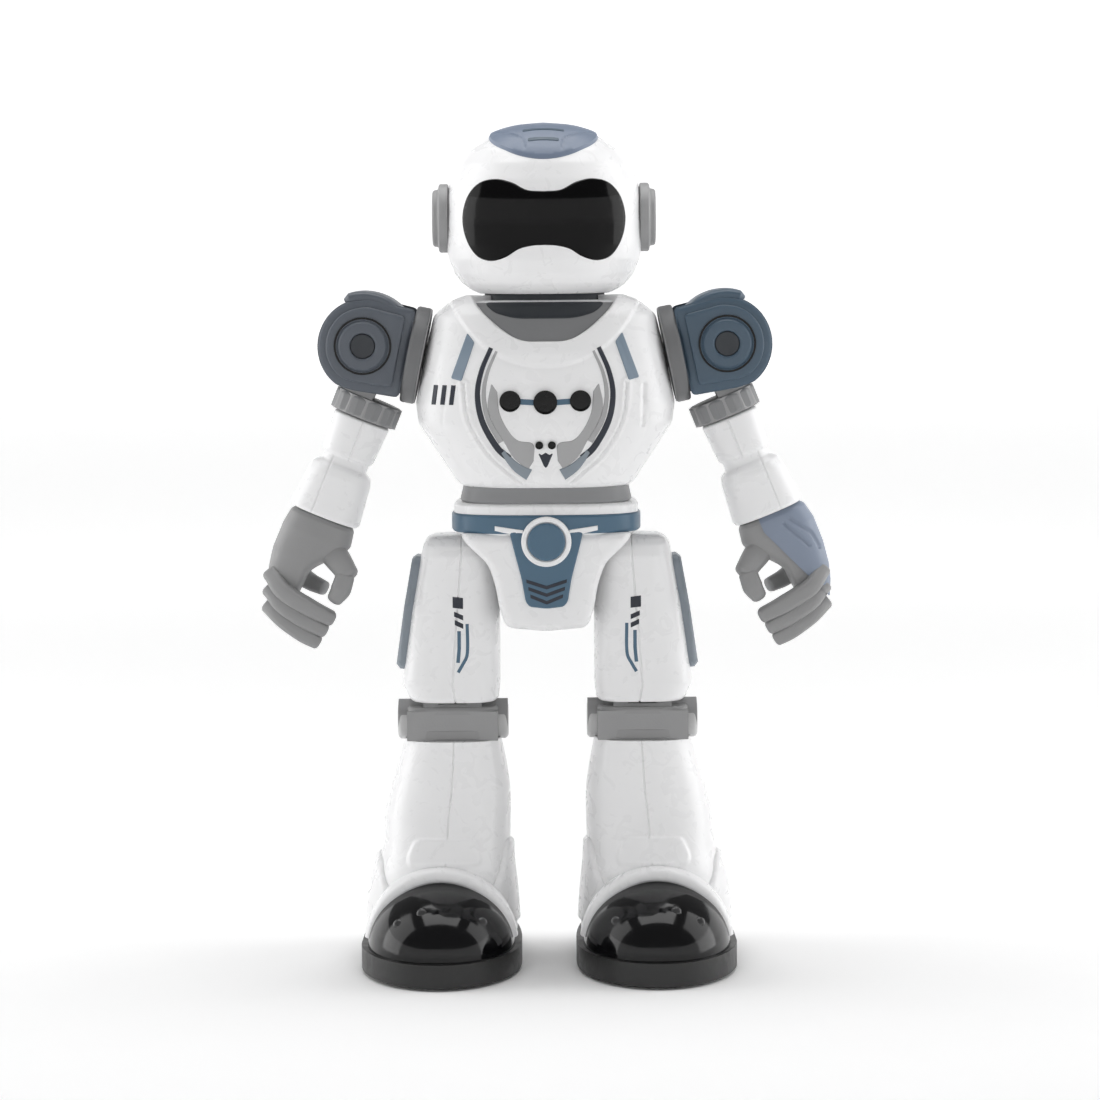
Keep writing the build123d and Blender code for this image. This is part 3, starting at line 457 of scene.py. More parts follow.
def lathe(profile, origin, axis, count=64):
    """Points and faces of a turned shape: profile is (distance along axis, radius), end to end."""
    axis = Vector(axis).normalized()
    side = axis.orthogonal().normalized()
    up = axis.cross(side)
    grid = []
    for along, radius in profile:
        ring = []
        for j in range(count):
            a = 2 * math.pi * j / count
            p = Vector(origin) + axis * along + (side * math.cos(a) + up * math.sin(a)) * max(radius, 0.001)
            ring.append(tuple(p))
        grid.append(ring)
    return capped(np.array(grid))


def soft_profile(profile, radius=0.5, steps=3):
    """A turned profile with its corners rounded."""
    pts = [np.array(p, dtype=float) for p in profile]
    out = [pts[0]]
    for a, p, b in zip(pts[:-2], pts[1:-1], pts[2:]):
        la, lb = np.linalg.norm(a - p), np.linalg.norm(b - p)
        cut = min(radius, la * 0.45, lb * 0.45)
        start, end = p + (a - p) / max(la, 1e-6) * cut, p + (b - p) / max(lb, 1e-6) * cut
        out += corner(start, p, end, steps)
    out.append(pts[-1])
    return out


def join(*shapes):
    points, faces = [], []
    for p, f in shapes:
        faces += [tuple(i + len(points) for i in face) for face in f]
        points += list(p)
    return points, faces


def mirrored(shape):
    points, faces = shape
    return [(-x, y, z) for x, y, z in points], [tuple(reversed(f)) for f in faces]


def sided(shape, sign):
    return shape if sign > 0 else mirrored(shape)


def arm_point(out, depth, along):
    """A point on the left arm: out from its centre line, front to back, and down from the ball."""
    down = np.array([math.sin(LEAN), 0, -math.cos(LEAN)])
    side = np.array([math.cos(LEAN), 0, math.sin(LEAN)])
    return BALL + down * along + side * (out + ARM_SHIFT) + np.array([0, depth, 0])


def even_angles(count, power, half_width, half_depth, seams=()):
    """Angles evenly spaced along a section's edge, with extra ones beside each front seam."""
    fine = np.linspace(0, 2 * math.pi, 20001)
    x, y = signed(np.cos(fine), 2 / power) * half_width, signed(np.sin(fine), 2 / power) * half_depth
    length = np.concatenate([[0], np.cumsum(np.hypot(np.diff(x), np.diff(y)))])
    angles = list(np.interp(np.linspace(0, length[-1], count, endpoint=False), length, fine))
    for seam in seams:
        for offset in (-0.42, -0.22, -0.08, 0.08, 0.22, 0.42):
            place = (seam + offset) / half_width
            angles.append(1.5 * math.pi + math.asin(float(signed(np.array(place), power / 2))))
    return np.sort(np.array(angles))


# ---- head ---------------------------------------------------------------------------------------


HEAD_SHAPE = [
    (207.6, 20.0), (208.6, 22.4), (210.6, 25.2), (213.6, 27.6), (218.0, 29.3), (223.0, 30.25),
    (229.5, 30.6), (236.0, 30.1),
    (242.0, 28.6), (247.0, 26.2), (251.0, 23.0), (254.2, 19.0), (256.6, 14.4), (258.2, 9.0), (258.9, 4.0),
    (259.0, 0.4),
]


def visor_outline():
    """Goggle outline: two tall rounded lobes joined by a lower waist."""
    right = [(0, 238.6), (5.0, 239.0), (9.5, 241.3), (14.5, 242.4), (19.6, 241.2), (23.2, 237.2),
             (24.8, 231.0),
             (23.8, 224.4), (20.6, 219.2), (16.2, 217.5), (11.6, 218.6), (7.6, 221.0), (3.6, 222.0),
             (0, 222.2)]
    line = curve(right, 70)
    return np.vstack([line, flip(line)[::-1][1:-1]])


def make_head():
    rows = [(z, 0, r, BODY_Y - r * 0.93, BODY_Y + r * 0.93) for z, r in HEAD_SHAPE]
    levels = np.concatenate([np.linspace(207.6, 216, 26, endpoint=False),
                             np.linspace(216, 244, 90, endpoint=False), np.linspace(244, 258.95, 46)])
    sections = smooth_rows(rows, levels, 0.8)
    sections[-1, 2] = 0.3
    sections[-1, 3:5] = (BODY_Y - 0.3, BODY_Y + 0.3)
    grid = tube_points(sections, 2.1, even_angles(330, 2.1, 30.0, 28.0))
    plain = capped(grid)
    normals = grid_normals(grid)
    flat = grid.reshape(-1, 3)
    split = np.abs(flat[:, 1] - (BODY_Y + 1.0))
    move = -0.3 * (1 - ramp(split, 0.1, 0.45)) * (flat[:, 2] < 252)
    flat = flat + normals.reshape(-1, 3) * move[:, None]
    shell = capped(flat.reshape(grid.shape))
    build("head_shell", *shell, WHITE, "head", "white_shell", ("head_front_shell", "head_rear_shell"), 60)
    surface = Surface(*plain)

    plates("visor_glass", surface, [visor_outline()], 0.35, BLACK, "head", "visor_black", ("visor",),
           sink=1.2, edge=0.5, spacing=1.1)

    def engraved(flat_points):
        groove = np.zeros(len(flat_points))
        for sign in (1, -1):
            arc = curve([(sign * 14.6, -3.0), (sign * 9.6, -9.0), (sign * 6.6, -12.6),
                         (sign * 5.4, -16.6)], 20)
            groove -= 0.3 * (1 - ramp(line_distance(flat_points, arc), 0.15, 0.5))
        return groove

    plates("crown_plate", surface, [crown_outline()], 0.7, CAP_BLUE, "head", "blue_shell", ("crown_cap",),
           sink=0.8, edge=0.6, spacing=0.55, view="top", relief=engraved)
    # Darker blue strips over the two crown slots: painted shade standing in for the shade inside the slots
    slot_shade_outlines = [rounded([(-half, y - 0.6), (half, y - 0.6), (half, y + 0.6), (-half, y + 0.6)], 0.5) for half,
             y in ((4.6, -14.2), (6.2, -9.2))]
    plates("crown_slot_shade", surface, slot_shade_outlines, 0.86, BLUE, "head", "blue_shell", sink=0.3, edge=0.12,
           spacing=0.6, view="top")
    ear = [(0, 9.0), (0, 10.5), (2.6, 10.5), (3.0, 10.0), (3.1, 8.8), (4.5, 8.6), (4.9, 8.0), (4.9, 5.6),
           (4.5, 5.3), (4.5, 0.0)]
    shapes = [lathe(soft_profile(ear, 0.5), (sign * 29.3, BODY_Y, 230.6), (sign, 0, 0), 72) for sign in (1,
            -1)]
    build("ear_cups", *join(*shapes), GREY, "head", "grey_shell", ("ear_discs",))


def crown_outline():
    """Leaf outline of the crown plate, seen from above."""
    half, front, back, middle = 16.6, -19.6, 18.0, -3.0
    turn = np.linspace(0, math.pi, 49)
    reach = np.where(turn < math.pi / 2, middle - front, back - middle)
    side = np.stack([half * np.sin(turn), middle - reach * np.cos(turn)], axis=1)
    return np.vstack([side, flip(side)[::-1][1:-1]])


# ---- torso --------------------------------------------------------------------------------------
TORSO_ROWS = [
    (149.0, 0, 25.8, BODY_Y - 21.8, BODY_Y + 20.0), (150.0, 0, 27.4, BODY_Y - 23.0, BODY_Y + 21.0),
    (153.0, 0, 29.2, BODY_Y - 24.2, BODY_Y + 22.0), (168.0, 0, 39.0, BODY_Y - 27.4, BODY_Y + 24.8),
    (174.0, 0, 39.8, BODY_Y - 27.6, BODY_Y + 25.4), (190.0, 0, 36.7, BODY_Y - 25.4, BODY_Y + 24.4),
    (201.0, 0, 34.0, BODY_Y - 20.4, BODY_Y + 20.8), (205.0, 0, 29.5, BODY_Y - 17.0, BODY_Y + 18.6),
    (206.6, 0, 25.0, BODY_Y - 14.6, BODY_Y + 16.4),
]


PRINT = dict(sink=0.5, edge=0.2, spacing=0.7)


def collar_line(grow=0.0):
    return [(-23.5 - grow, 214), (-21.6 - grow, 205.0), (-14.2 - grow * 0.8, 197.6 - grow * 0.7),
            (-7.4, 193.4 - grow),
            (7.4, 193.4 - grow), (14.2 + grow * 0.8, 197.6 - grow * 0.7), (21.6 + grow, 205.0),
            (23.5 + grow, 214)]


def torso_relief(flat):
    """How far each point of the front stands in or out: neckline, chest panel border and panel lines."""
    xz = flat[:, [0, 2]]
    front = ramp(-flat[:, 1], 0.0, 4.0)
    neck = edge_distance(xz, rounded(collar_line(), 4.0))
    move = -1.3 * ramp(-neck, -0.3, 0.5)
    lip = edge_distance(xz, rounded(collar_line(7.4), 9.0))
    move += 0.7 * (ramp(-lip, -0.8, 0.6)) * ramp(neck, -0.3, 0.5)
    for sign in (1, -1):
        outer = curve([(sign * 24.6, 181.0), (sign * 23.2, 170.0), (sign * 17.8, 160.2),
                       (sign * 12.2, 154.6), (sign * 7.6, 150.6)], 30)
        move += -0.35 * (1 - ramp(line_distance(xz, outer), 0.12, 0.5))
        move += 0.35 * (1 - ramp(np.abs(line_distance(xz, outer) - 0.9), 0.2, 0.8))
        panel = curve([(sign * 22.5, 193.5), (sign * 26.0, 184.0), (sign * 29.5, 178.0),
                       (sign * 31.0, 168.0), (sign * 26.0, 156.0)], 30)
        move += -0.18 * (1 - ramp(line_distance(xz, panel), 0.1, 0.4))
    notch = line_distance(xz, [(30.0, 180.4), (29.6, 168.0)])
    move += -0.5 * (1 - ramp(notch, 0.3, 0.8))
    return move * front


def back_relief(flat):
    """Side seam, battery door line and vents at the back."""
    xz = flat[:, [0, 2]]
    back = ramp(flat[:, 1], BODY_Y + 6, BODY_Y + 9)
    move = -0.3 * (1 - ramp(np.abs(flat[:, 1] - BODY_Y), 0.1, 0.45))
    door = edge_distance(xz, rounded([(-19, 158), (19, 158), (19, 188), (-19, 188)], 2.0))
    move -= 0.5 * (1 - ramp(np.abs(door), 0.15, 0.5)) * back
    for row, low, high in ((165.0, 22.5, 31.0), (168.4, 22.5, 31.4), (171.8, 22.5, 31.8)):
        for sign in (1, -1):
            vent = line_distance(xz, [(sign * low, row), (sign * high, row)])
            move -= 0.9 * (1 - ramp(vent, 0.4, 0.9)) * back
    return move


def make_torso():
    levels = np.concatenate([np.linspace(149, 200, 150, endpoint=False), np.linspace(200, 206.6, 36)])
    sections = smooth_rows(TORSO_ROWS, levels, 1.5)
    grid = tube_points(sections, 3.0, even_angles(400, 3.0, 37.0, 25.0))
    tilt_axis = np.array([math.cos(TILT), 0, math.sin(TILT)])
    for sign in (1, -1):
        axis = tilt_axis * np.array([sign, 1, 1])
        over = (grid - np.array([sign * SWING[0], BODY_Y, SWING[2]])) @ axis
        grid = grid - np.maximum(over, 0)[..., None] * axis
    plain = capped(grid)
    normals = grid_normals(grid)
    flat = grid.reshape(-1, 3)
    move = torso_relief(flat) + back_relief(flat)
    flat = flat + normals.reshape(-1, 3) * move[:, None]
    shell = capped(flat.reshape(grid.shape))
    build("torso_shell", *shell, WHITE, "root", "white_shell",
          ("torso_front_shell", "torso_rear_shell", "battery_door"), 60)
    surface = Surface(*shell)
    make_neckline(Surface(*plain))
    make_chest_prints(surface)
    make_sensors(surface)


def make_neckline(bare):
    neck = rounded(collar_line(-0.4), 4.0)
    neck = np.array([(x, min(z, 205.6)) for x, z in neck])
    plates("collar_piece", bare, [resample(neck, 1.0)], -0.75, COLLAR_GREY, "root", "grey_shell",
           ("collar_insert",), sink=1.6, edge=0.5)

    # Near-black sheet over the top of the collar and near-black neck ring under the head: the neck ring is a
    # real part, but the near-black colour of both is painted shade under the head
    neck_shade_outline = rounded([(-18.6, 205.6), (-15.6, 202.6), (-9.0, 200.6), (9.0, 200.6), (15.6, 202.6),
                            (18.6, 205.6)], 3.0)
    rows = [(204.4, 0, 19.0, BODY_Y - 12.6, BODY_Y + 14.0), (205.0, 0, 19.0, BODY_Y - 12.6, BODY_Y + 14.0),
            (207.4, 0, 18.4, BODY_Y - 12.2, BODY_Y + 13.6)]
    ring = tube(rows, (204.4, 207.4, 10), 0.2, 2.6, 120, 19.0, 13.3)
    build("neck_ring_shaded_dark", *capped(ring), DARK_GREY, "root", "dark_grey", (), 40)
    plates("neck_shade_sheet", bare, [neck_shade_outline], -0.45, DARK_GREY, "root", "dark_grey", sink=1.2, edge=0.3)

    outer_edge, inner_edge = rounded(collar_line(1.9), 5.0), rounded(collar_line(-0.1), 4.0)
    low_outer = [p for p in outer_edge if p[1] < 204.6]
    low_inner = [p for p in inner_edge if p[1] < 204.6]
    rim = np.array(low_outer + low_inner[::-1])
    plates("neckline_rim", bare, [rim], 0.25, WHITE, "root", "white_shell", sink=1.6, edge=0.5, spacing=0.8)


def make_chest_prints(surface):
    strip, arcs, ends, pale, pale_side = [], [], [], [], []
    for sign in (1, -1):
        mirror = np.array([sign, 1])
        strip.append(rounded(np.array([(23.4, 196.0), (21.2, 193.2), (25.2, 181.6),
                                       (28.4, 182.4)]) * mirror, 0.6))
        line = curve(np.array([(16.2, 191.6), (19.2, 184.5), (20.4, 177.4), (19.0, 169.5), (14.8, 161.8),
                               (11.0, 158.2)]) * mirror, 40)
        arcs.append(band(line, 1.3, 2.1))
        line = curve(np.array([(13.0, 160.4), (10.8, 157.6), (8.4, 155.2), (5.0, 153.2)]) * mirror, 26)
        ends.append(band(line, 1.4, 3.6))
        line = curve(np.array([(14.6, 190.6), (17.4, 184.0), (18.5, 177.4), (17.2, 170.2),
                               (13.4, 163.2)]) * mirror, 40)
        pale.append(band(line, 0.8, 1.8))
        outer = curve([(16.2, 181.0), (17.4, 174.6), (16.0, 169.4), (12.6, 163.4), (9.8, 158.6),
                       (5.4, 154.6)], 30)
        inner = curve([(3.6, 157.4), (3.7, 162.6), (8.4, 163.8), (11.6, 167.4), (13.8, 172.4),
                       (14.4, 178.4)], 30)
        pale_side.append(np.vstack([outer, inner]) * mirror)
    plates("shoulder_strips", surface, strip, 0.35, STRIP_BLUE, "root", "blue_shell", **PRINT)
    plates("chest_arcs", surface, arcs, 0.3, NAVY, "root", "blue_shell", **PRINT)
    plates("chest_arc_ends", surface, ends, 0.34, BAR_BLUE, "root", "blue_shell", **PRINT)
    plates("chest_pale_lines", surface, pale, 0.22, PALE_GREY, "root", "grey_shell", **PRINT)
    plates("chest_pale_fields", surface, pale_side, 0.18, PALE_GREY, "root", "grey_shell", **PRINT)


def make_sensors(surface):
    bars = [[(-7.6, 174.6), (-3.2, 174.3), (-3.2, 176.0), (-7.6, 176.3)],
            [(3.2, 174.3), (7.6, 174.6), (7.6, 176.3), (3.2, 176.0)]]
    plates("sensor_bars", surface, bars, 0.25, BELT_BLUE, "root", "blue_shell", **PRINT)
    discs = []
    for x, z, r in ((-10.6, 175.6, 3.2), (0, 175.2, 3.6), (10.6, 175.6, 3.2), (-1.9, 162.2, 1.2),
                    (1.9, 162.2, 1.2)):
        spot = surface.hit(x, z, "front")[0]
        profile = soft_profile([(-1.5, 0), (-1.5, r), (0.9, r), (0.55, r * 0.8), (0.45, 0)], 0.25)
        discs.append(lathe(profile, (x, spot.y, z), (0, -1, 0), 48))
    build("sensor_discs", *join(*discs), LENS, "root", "lens_black", ("sensor_lenses",))
    arrow = [(-2.4, 160.0), (-1.2, 159.3), (0, 160.0), (1.2, 159.3), (2.4, 160.0), (0.6, 155.8),
             (0, 155.2), (-0.6, 155.8)]
    ticks = []
    for k in range(3):
        low = -34.6 + 2.7 * k
        ticks.append([(low, 174.4), (low + 1.5, 174.4), (low + 2.3, 180.4), (low + 0.8, 180.4)])
    plates("chest_marks", surface, [arrow] + ticks, 0.16, NAVY, "root", "lens_black", **PRINT)


# ---- waist and pelvis ---------------------------------------------------------------------------
def pelvis_wall():
    """The gently bowed front that the pelvis plate and the belt's tail follow."""
    across, up = np.linspace(-30, 30, 61), np.linspace(100, 140, 41)
    bow = -15.4 - 1.6 * np.cos(np.clip(across / 30, -1, 1) * 1.4)
    points = [(x, y, z) for z in up for x, y in zip(across, bow)]
    corners = [i * 61 + j for i in range(40) for j in range(60)]
    return Surface(points, [(k, k + 1, k + 62, k + 61) for k in corners])


def make_pelvis():
    rows = [(144.0, 0, 25.6, BODY_Y - 20.2, BODY_Y + 19.0), (144.6, 0, 26.4, BODY_Y - 20.8, BODY_Y + 19.4),
            (149.0, 0, 25.4, BODY_Y - 21.3, BODY_Y + 19.4)]
    grid = tube(rows, (144.0, 149.0, 16), 0.3, 3.4, 160, 26.0, 20.0)
    build("waist_ring", *capped(grid), COLLAR_GREY, "root", "grey_shell", ("waist_insert",), 40)

    rows = [(134.4, 0, 27.6, -16.6, BODY_Y + 19.2), (135.2, 0, 28.4, -17.2, BODY_Y + 20.0),
            (143.2, 0, 28.4, -17.0, BODY_Y + 20.0),
            (144.0, 0, 27.4, -16.2, BODY_Y + 19.2)]
    belt = capped(tube(rows, (134.4, 144.0, 40), 0.4, 3.0, 220, 28.0, 20.0))

    outline = rounded([(26.4, 135.0), (24.6, 132.0), (17.8, 125.6), (15.6, 119.0), (14.6, 112.6),
                       (12.6, 106.2), (0, 105.1),
                       (-12.6, 106.2), (-14.6, 112.6), (-15.6, 119.0), (-17.8, 125.6), (-24.6, 132.0),
                       (-26.4, 135.0)], 2.5)
    wall = pelvis_wall()
    pod = plate_mesh(wall, outline, 0.0, sink=7.0, edge=1.6, spacing=1.2)
    rows = [(106.4, 0, 11.0, -12.0, BODY_Y + 14.6), (108.0, 0, 12.3, -12.5, BODY_Y + 16.0),
            (135.0, 0, 12.3, -12.5, BODY_Y + 16.0)]
    middle = capped(tube(rows, (106.4, 135.0, 30), 0.8, 5.0, 96, 12.0, 14.0))
    build("pelvis_body", *join(belt, pod, middle), WHITE, "root", "white_shell", ("pelvis_shell",), 50)
    make_belt(belt, pod, wall)


def make_belt(belt, pod, wall):
    """The blue hoop, its tail, the buckle and the prints on them."""
    rows = [(135.0, 0, 28.5, -17.4, BODY_Y + 20.1), (135.6, 0, 29.1, -17.9, BODY_Y + 20.7),
            (140.2, 0, 29.1, -17.8, BODY_Y + 20.7),
            (140.7, 0, 28.5, -17.2, BODY_Y + 20.1)]
    hoop = capped(tube(rows, (135.0, 140.7, 20), 0.2, 3.0, 220, 28.0, 20.0))
    build("belt_hoop", *hoop, BELT_BLUE, "root", "blue_shell", ("belt_trim",), 40)
    hoop_surface = Surface(*join(hoop, belt, pod))
    tail = rounded([(-11.2, 135.8), (11.2, 135.8), (9.9, 130.2), (7.6, 121.5), (6.4, 114.4), (5.2, 112.8),
                    (0, 112.2), (-5.2, 112.8),
                    (-6.4, 114.4), (-7.6, 121.5), (-9.9, 130.2)], 1.2)
    plates("belt_tail", wall, [tail], 0.9, BELT_BLUE, "root", "blue_shell", sink=0.3, edge=0.35, spacing=1.0)
    front = -17.9
    ring = soft_profile([(-2.0, 0.0), (-2.0, 7.6), (1.3, 7.6), (1.5, 7.2), (1.5, 6.1), (0.9, 5.9),
                         (0.9, 0)], 0.3)
    build("buckle_ring", *lathe(ring, (0, front, 132.7), (0, -1, 0), 72), WHITE, "root", "white_shell")
    disc = soft_profile([(0.5, 0.0), (0.5, 5.75), (1.6, 5.75), (1.9, 5.2), (1.9, 0)], 0.3)
    build("buckle_disc", *lathe(disc, (0, front, 132.7), (0, -1, 0), 72), BELT_BLUE, "root", "blue_shell")
    bars = []
    for sign in (1, -1):
        bars.append([(sign * 7.0, 134.2), (sign * 15.6, 136.0), (sign * 15.6, 137.4), (sign * 7.0, 136.2)])
    plates("belt_bars", hoop_surface, bars, 0.3, WHITE, "root", "white_shell", sink=0.3, edge=0.2,
           spacing=0.8)
    chevrons = []
    for k in range(3):
        z = 121.2 - 2.3 * k
        half = 6.2 - 0.6 * k
        chevrons.append([(-half, z), (0, z - 2.0), (half, z), (half - 0.1, z - 1.1), (0, z - 3.1),
                         (-half + 0.1, z - 1.1)])
    tail_surface = Surface(*plate_mesh(wall, tail, 0.9, sink=0.3, edge=0.35, spacing=1.0))
    plates("codpiece_chevrons", tail_surface, chevrons, 0.15, NAVY, "root", "lens_black", sink=0.3,
           edge=0.12, spacing=0.7)


# ---- arms ---------------------------------------------------------------------------------------
def swept(path, half_out, half_deep, power=3.0, count=28, steps=26, side_axis=(1, 0, 0)):
    """A soft-ended bar along a smooth path, in millimetres; half sizes run along the path's own length."""
    centre = curve(path, steps)
    forward = np.gradient(centre, axis=0)
    forward /= np.linalg.norm(forward, axis=1, keepdims=True)
    share = np.linspace(0, 1, steps)
    wide = np.interp(share, np.linspace(0, 1, len(half_out)), half_out)
    deep = np.interp(share, np.linspace(0, 1, len(half_deep)), half_deep)
    angles = np.linspace(0, 2 * math.pi, count, endpoint=False)
    grid = []

    def ring(c, f, w, d):
        side = np.cross(f, np.array(side_axis, dtype=float))
        side /= np.linalg.norm(side)
        other = np.cross(f, side)
        return c + signed(np.cos(angles), 2 / power)[:, None] * side * w + signed(np.sin(angles),
                2 / power)[:, None] * other * d

    for t in np.linspace(math.pi / 2, 0.12, 6):
        shrink = math.cos(t) ** 0.8
        grid.append(ring(centre[0] - forward[0] * math.sin(t) * min(wide[0], deep[0]) * 0.6, forward[0],
                         wide[0] * shrink + 0.01, deep[0] * shrink + 0.01))
    for c, f, w, d in zip(centre, forward, wide, deep):
        grid.append(ring(c, f, w, d))
    for t in np.linspace(0.12, math.pi / 2, 6):
        shrink = math.cos(t) ** 0.8
        grid.append(ring(centre[-1] + forward[-1] * math.sin(t) * min(wide[-1], deep[-1]) * 0.6,
                         forward[-1], wide[-1] * shrink + 0.01, deep[-1] * shrink + 0.01))
    return capped(np.array(grid))


def arm_section(rows, power, count, seams=()):
    """A shape round the arm's centre line from rows of (along, half out, half deep)."""
    rows = np.array(rows, dtype=float)
    levels = np.unique(np.concatenate([np.linspace(rows[0, 0], rows[-1, 0],
                                                   int((rows[-1, 0] - rows[0, 0]) / 0.5)), rows[:, 0]]))
    sections = smooth_rows(rows, levels, 0.35)
    angles = even_angles(count, power, rows[:, 1].max(), rows[:, 2].max(), seams)
    c, s = signed(np.cos(angles), 2 / power), signed(np.sin(angles), 2 / power)
    grid, local = [], []
    for along, out, deep in sections:
        grid.append([arm_point(a * out, b * deep, along) for a, b in zip(c, s)])
        local.append([(a * out, b * deep, along) for a, b in zip(c, s)])
    return np.array(grid), np.array(local)


def housing_outline(shrink=0.0):
    """D outline of the shoulder housing in the front view: straight beside the disc, round on the outside."""
    out = np.array([math.cos(TILT), math.sin(TILT)])
    up = np.array([-math.sin(TILT), math.cos(TILT)])
    base = np.array([BALL[0], BALL[2]])
    points = [base - out * (13.7 - shrink) - up * (13.4 - shrink), base + out * (1.0) - up * (13.9 - shrink)]
    for a in np.radians(np.linspace(-66, 66, 15)):
        points.append(base + (out * math.cos(a) + up * math.sin(a) * 1.04) * (13.9 - shrink))
    points += [base + out * 1.0 + up * (14.6 - shrink), base - out * (13.7 - shrink) + up * (13.9 - shrink)]
    return rounded(points, 1.6, 4)


def slab(outline, y_inner, y_face, dome, edge, toward):
    """A plate standing across Y with a rounded edge and a domed face; `toward` is -1 for the front."""
    border = resample(outline, 0.9)
    low, high = border.min(axis=0), border.max(axis=0)
    gx, gz = np.meshgrid(np.arange(low[0], high[0], 1.2), np.arange(low[1], high[1], 1.2))
    inner = np.stack([gx.ravel(), gz.ravel()], axis=1)
    inner = inner[edge_distance(inner, border) < -edge * 1.3]
    middle = border.mean(axis=0)
    rings = [border + (middle - border) / np.linalg.norm(middle - border, axis=1,
                                                         keepdims=True) * edge * k for k in (0.25, 0.6, 1.0)]
    pts = np.vstack([border] + rings + [inner])
    count = len(border)
    made = delaunay_2d_cdt([Vector(p) for p in pts], [(i, (i + 1) % count) for i in range(count)],
                           [list(range(count))], 1, 1e-6)
    flat = np.array([tuple(v) for v in made[0]])
    depth = -edge_distance(flat, border)
    t = np.clip(depth / edge, 0, 1)
    rise = (1 - np.sqrt(np.maximum(0, 1 - (1 - t) ** 2))) * edge
    face = y_face - dome * (1 - np.clip(depth / depth.max(), 0, 1)) ** 2 - rise
    points = [(p[0], BODY_Y + toward * y, p[1]) for p, y in zip(flat, face)]
    faces = [tuple(f) for f in made[2]]
    lower = {}
    rim = open_edges(faces)
    for a, b in rim:
        for v in (a, b):
            if v not in lower:
                lower[v] = len(points)
                points.append((points[v][0], BODY_Y + toward * y_inner, points[v][2]))
        faces.append((b, a, lower[a], lower[b]))
    loop = [lower[v] for v in lower]
    back = len(points)
    centre = np.mean([points[v] for v in loop], axis=0)
    points.append(tuple(centre))
    for a, b in rim:
        faces.append((lower[a], lower[b], back))
    return points, faces


def make_shoulder(side, sign):
    axis = (sign * math.cos(TILT), 0, math.sin(TILT))
    origin = (sign * SWING[0], BODY_Y, SWING[2])
    cuff = soft_profile([(0.3, 0), (0.3, 14.3), (0.9, 15.0), (4.5, 15.0), (5.1, 14.5), (5.1, 0)], 0.7, 4)
    build(f"shoulder_cuff_{side}", *lathe(cuff, origin, axis, 80), CUFF_GREY, f"arm_swing_{side}",
          "grey_shell")
    # Left housing and hubs keep the base blue and the right ones take the lighter copy: painted light and
    # shade between two copies of one moulding
    shade_side = side == "left"
    look = BLUE if shade_side else BLUE_LIT_COPY
    cheeks = []
    for toward in (-1, 1):
        cheeks.append(slab(housing_outline(), 10.9, 12.3, 1.0, 1.1, toward))
        cheeks.append(slab(housing_outline(2.6), 11.6, 13.0, 0.25, 0.6, toward))
    cx, cz = BALL[0], BALL[2]
    crest = []
    ends = np.radians([68, 170])
    for a in np.linspace(ends[0], ends[1], 34):
        ring = []
        taper = min(1.0, 6 * (a - ends[0]) + 0.35, 6 * (ends[1] - a) + 0.6)
        for t in np.linspace(0, 2 * math.pi, 40, endpoint=False):
            y = float(signed(np.cos(t), 0.4)) * 11.2 * (0.75 + 0.25 * taper)
            r = 14.9 + float(signed(np.sin(t), 0.5)) * 1.75 * taper
            reach = (BALL[0] + r * math.cos(a), BALL[2] + r * math.sin(a))
            over = 13.9 + (reach[0] - cx) * math.cos(TILT) + (reach[1] - cz) * math.sin(TILT)
            shift = max(0.0, -over)
            ring.append((reach[0] + shift * math.cos(TILT), BODY_Y + y, reach[1] + shift * math.sin(TILT)))
        crest.append(ring)
    cheeks.append(capped(np.array(crest)))
    build(f"shoulder_housing_{side}", *sided(join(*cheeks), sign), look, f"arm_swing_{side}", "blue_shell",
          (f"shoulder_bracket_{side}",), 40)
    hubs, centres = [], []
    for toward in (-1, 1):
        hub = soft_profile([(9.0, 0), (9.0, 8.6), (13.1, 8.5), (13.3, 8.0), (12.9, 7.75), (13.2, 7.5),
                            (13.9, 7.0), (14.1, 4.6), (13.8, 3.9), (12.9, 3.8), (12.9, 0)], 0.25)
        hubs.append(lathe(hub, (sign * cx, BODY_Y, cz), (0, toward, 0), 72))
        dark = soft_profile([(12.5, 0), (12.5, 3.75), (13.5, 3.7), (13.6, 3.4), (13.4, 0)], 0.15)
        centres.append(lathe(dark, (sign * cx, BODY_Y, cz), (0, toward, 0), 48))
    build(f"shoulder_hubs_{side}", *join(*hubs), look, f"arm_ball_{side}", "blue_shell", (), 40)
    build(f"hub_centres_{side}", *join(*centres), DARK_GREY, f"arm_ball_{side}", "dark_grey")
    rings = []
    for toward in (-1, 1):
        shape = lathe([(12.0, 8.15), (13.28, 8.15), (13.28, 8.75), (12.0, 8.75)], (sign * cx, BODY_Y, cz),
                      (0, toward, 0), 72)
        rings.append(shape)
    build(f"hub_rings_{side}", *join(*rings), LENS, f"arm_ball_{side}", "lens_black")


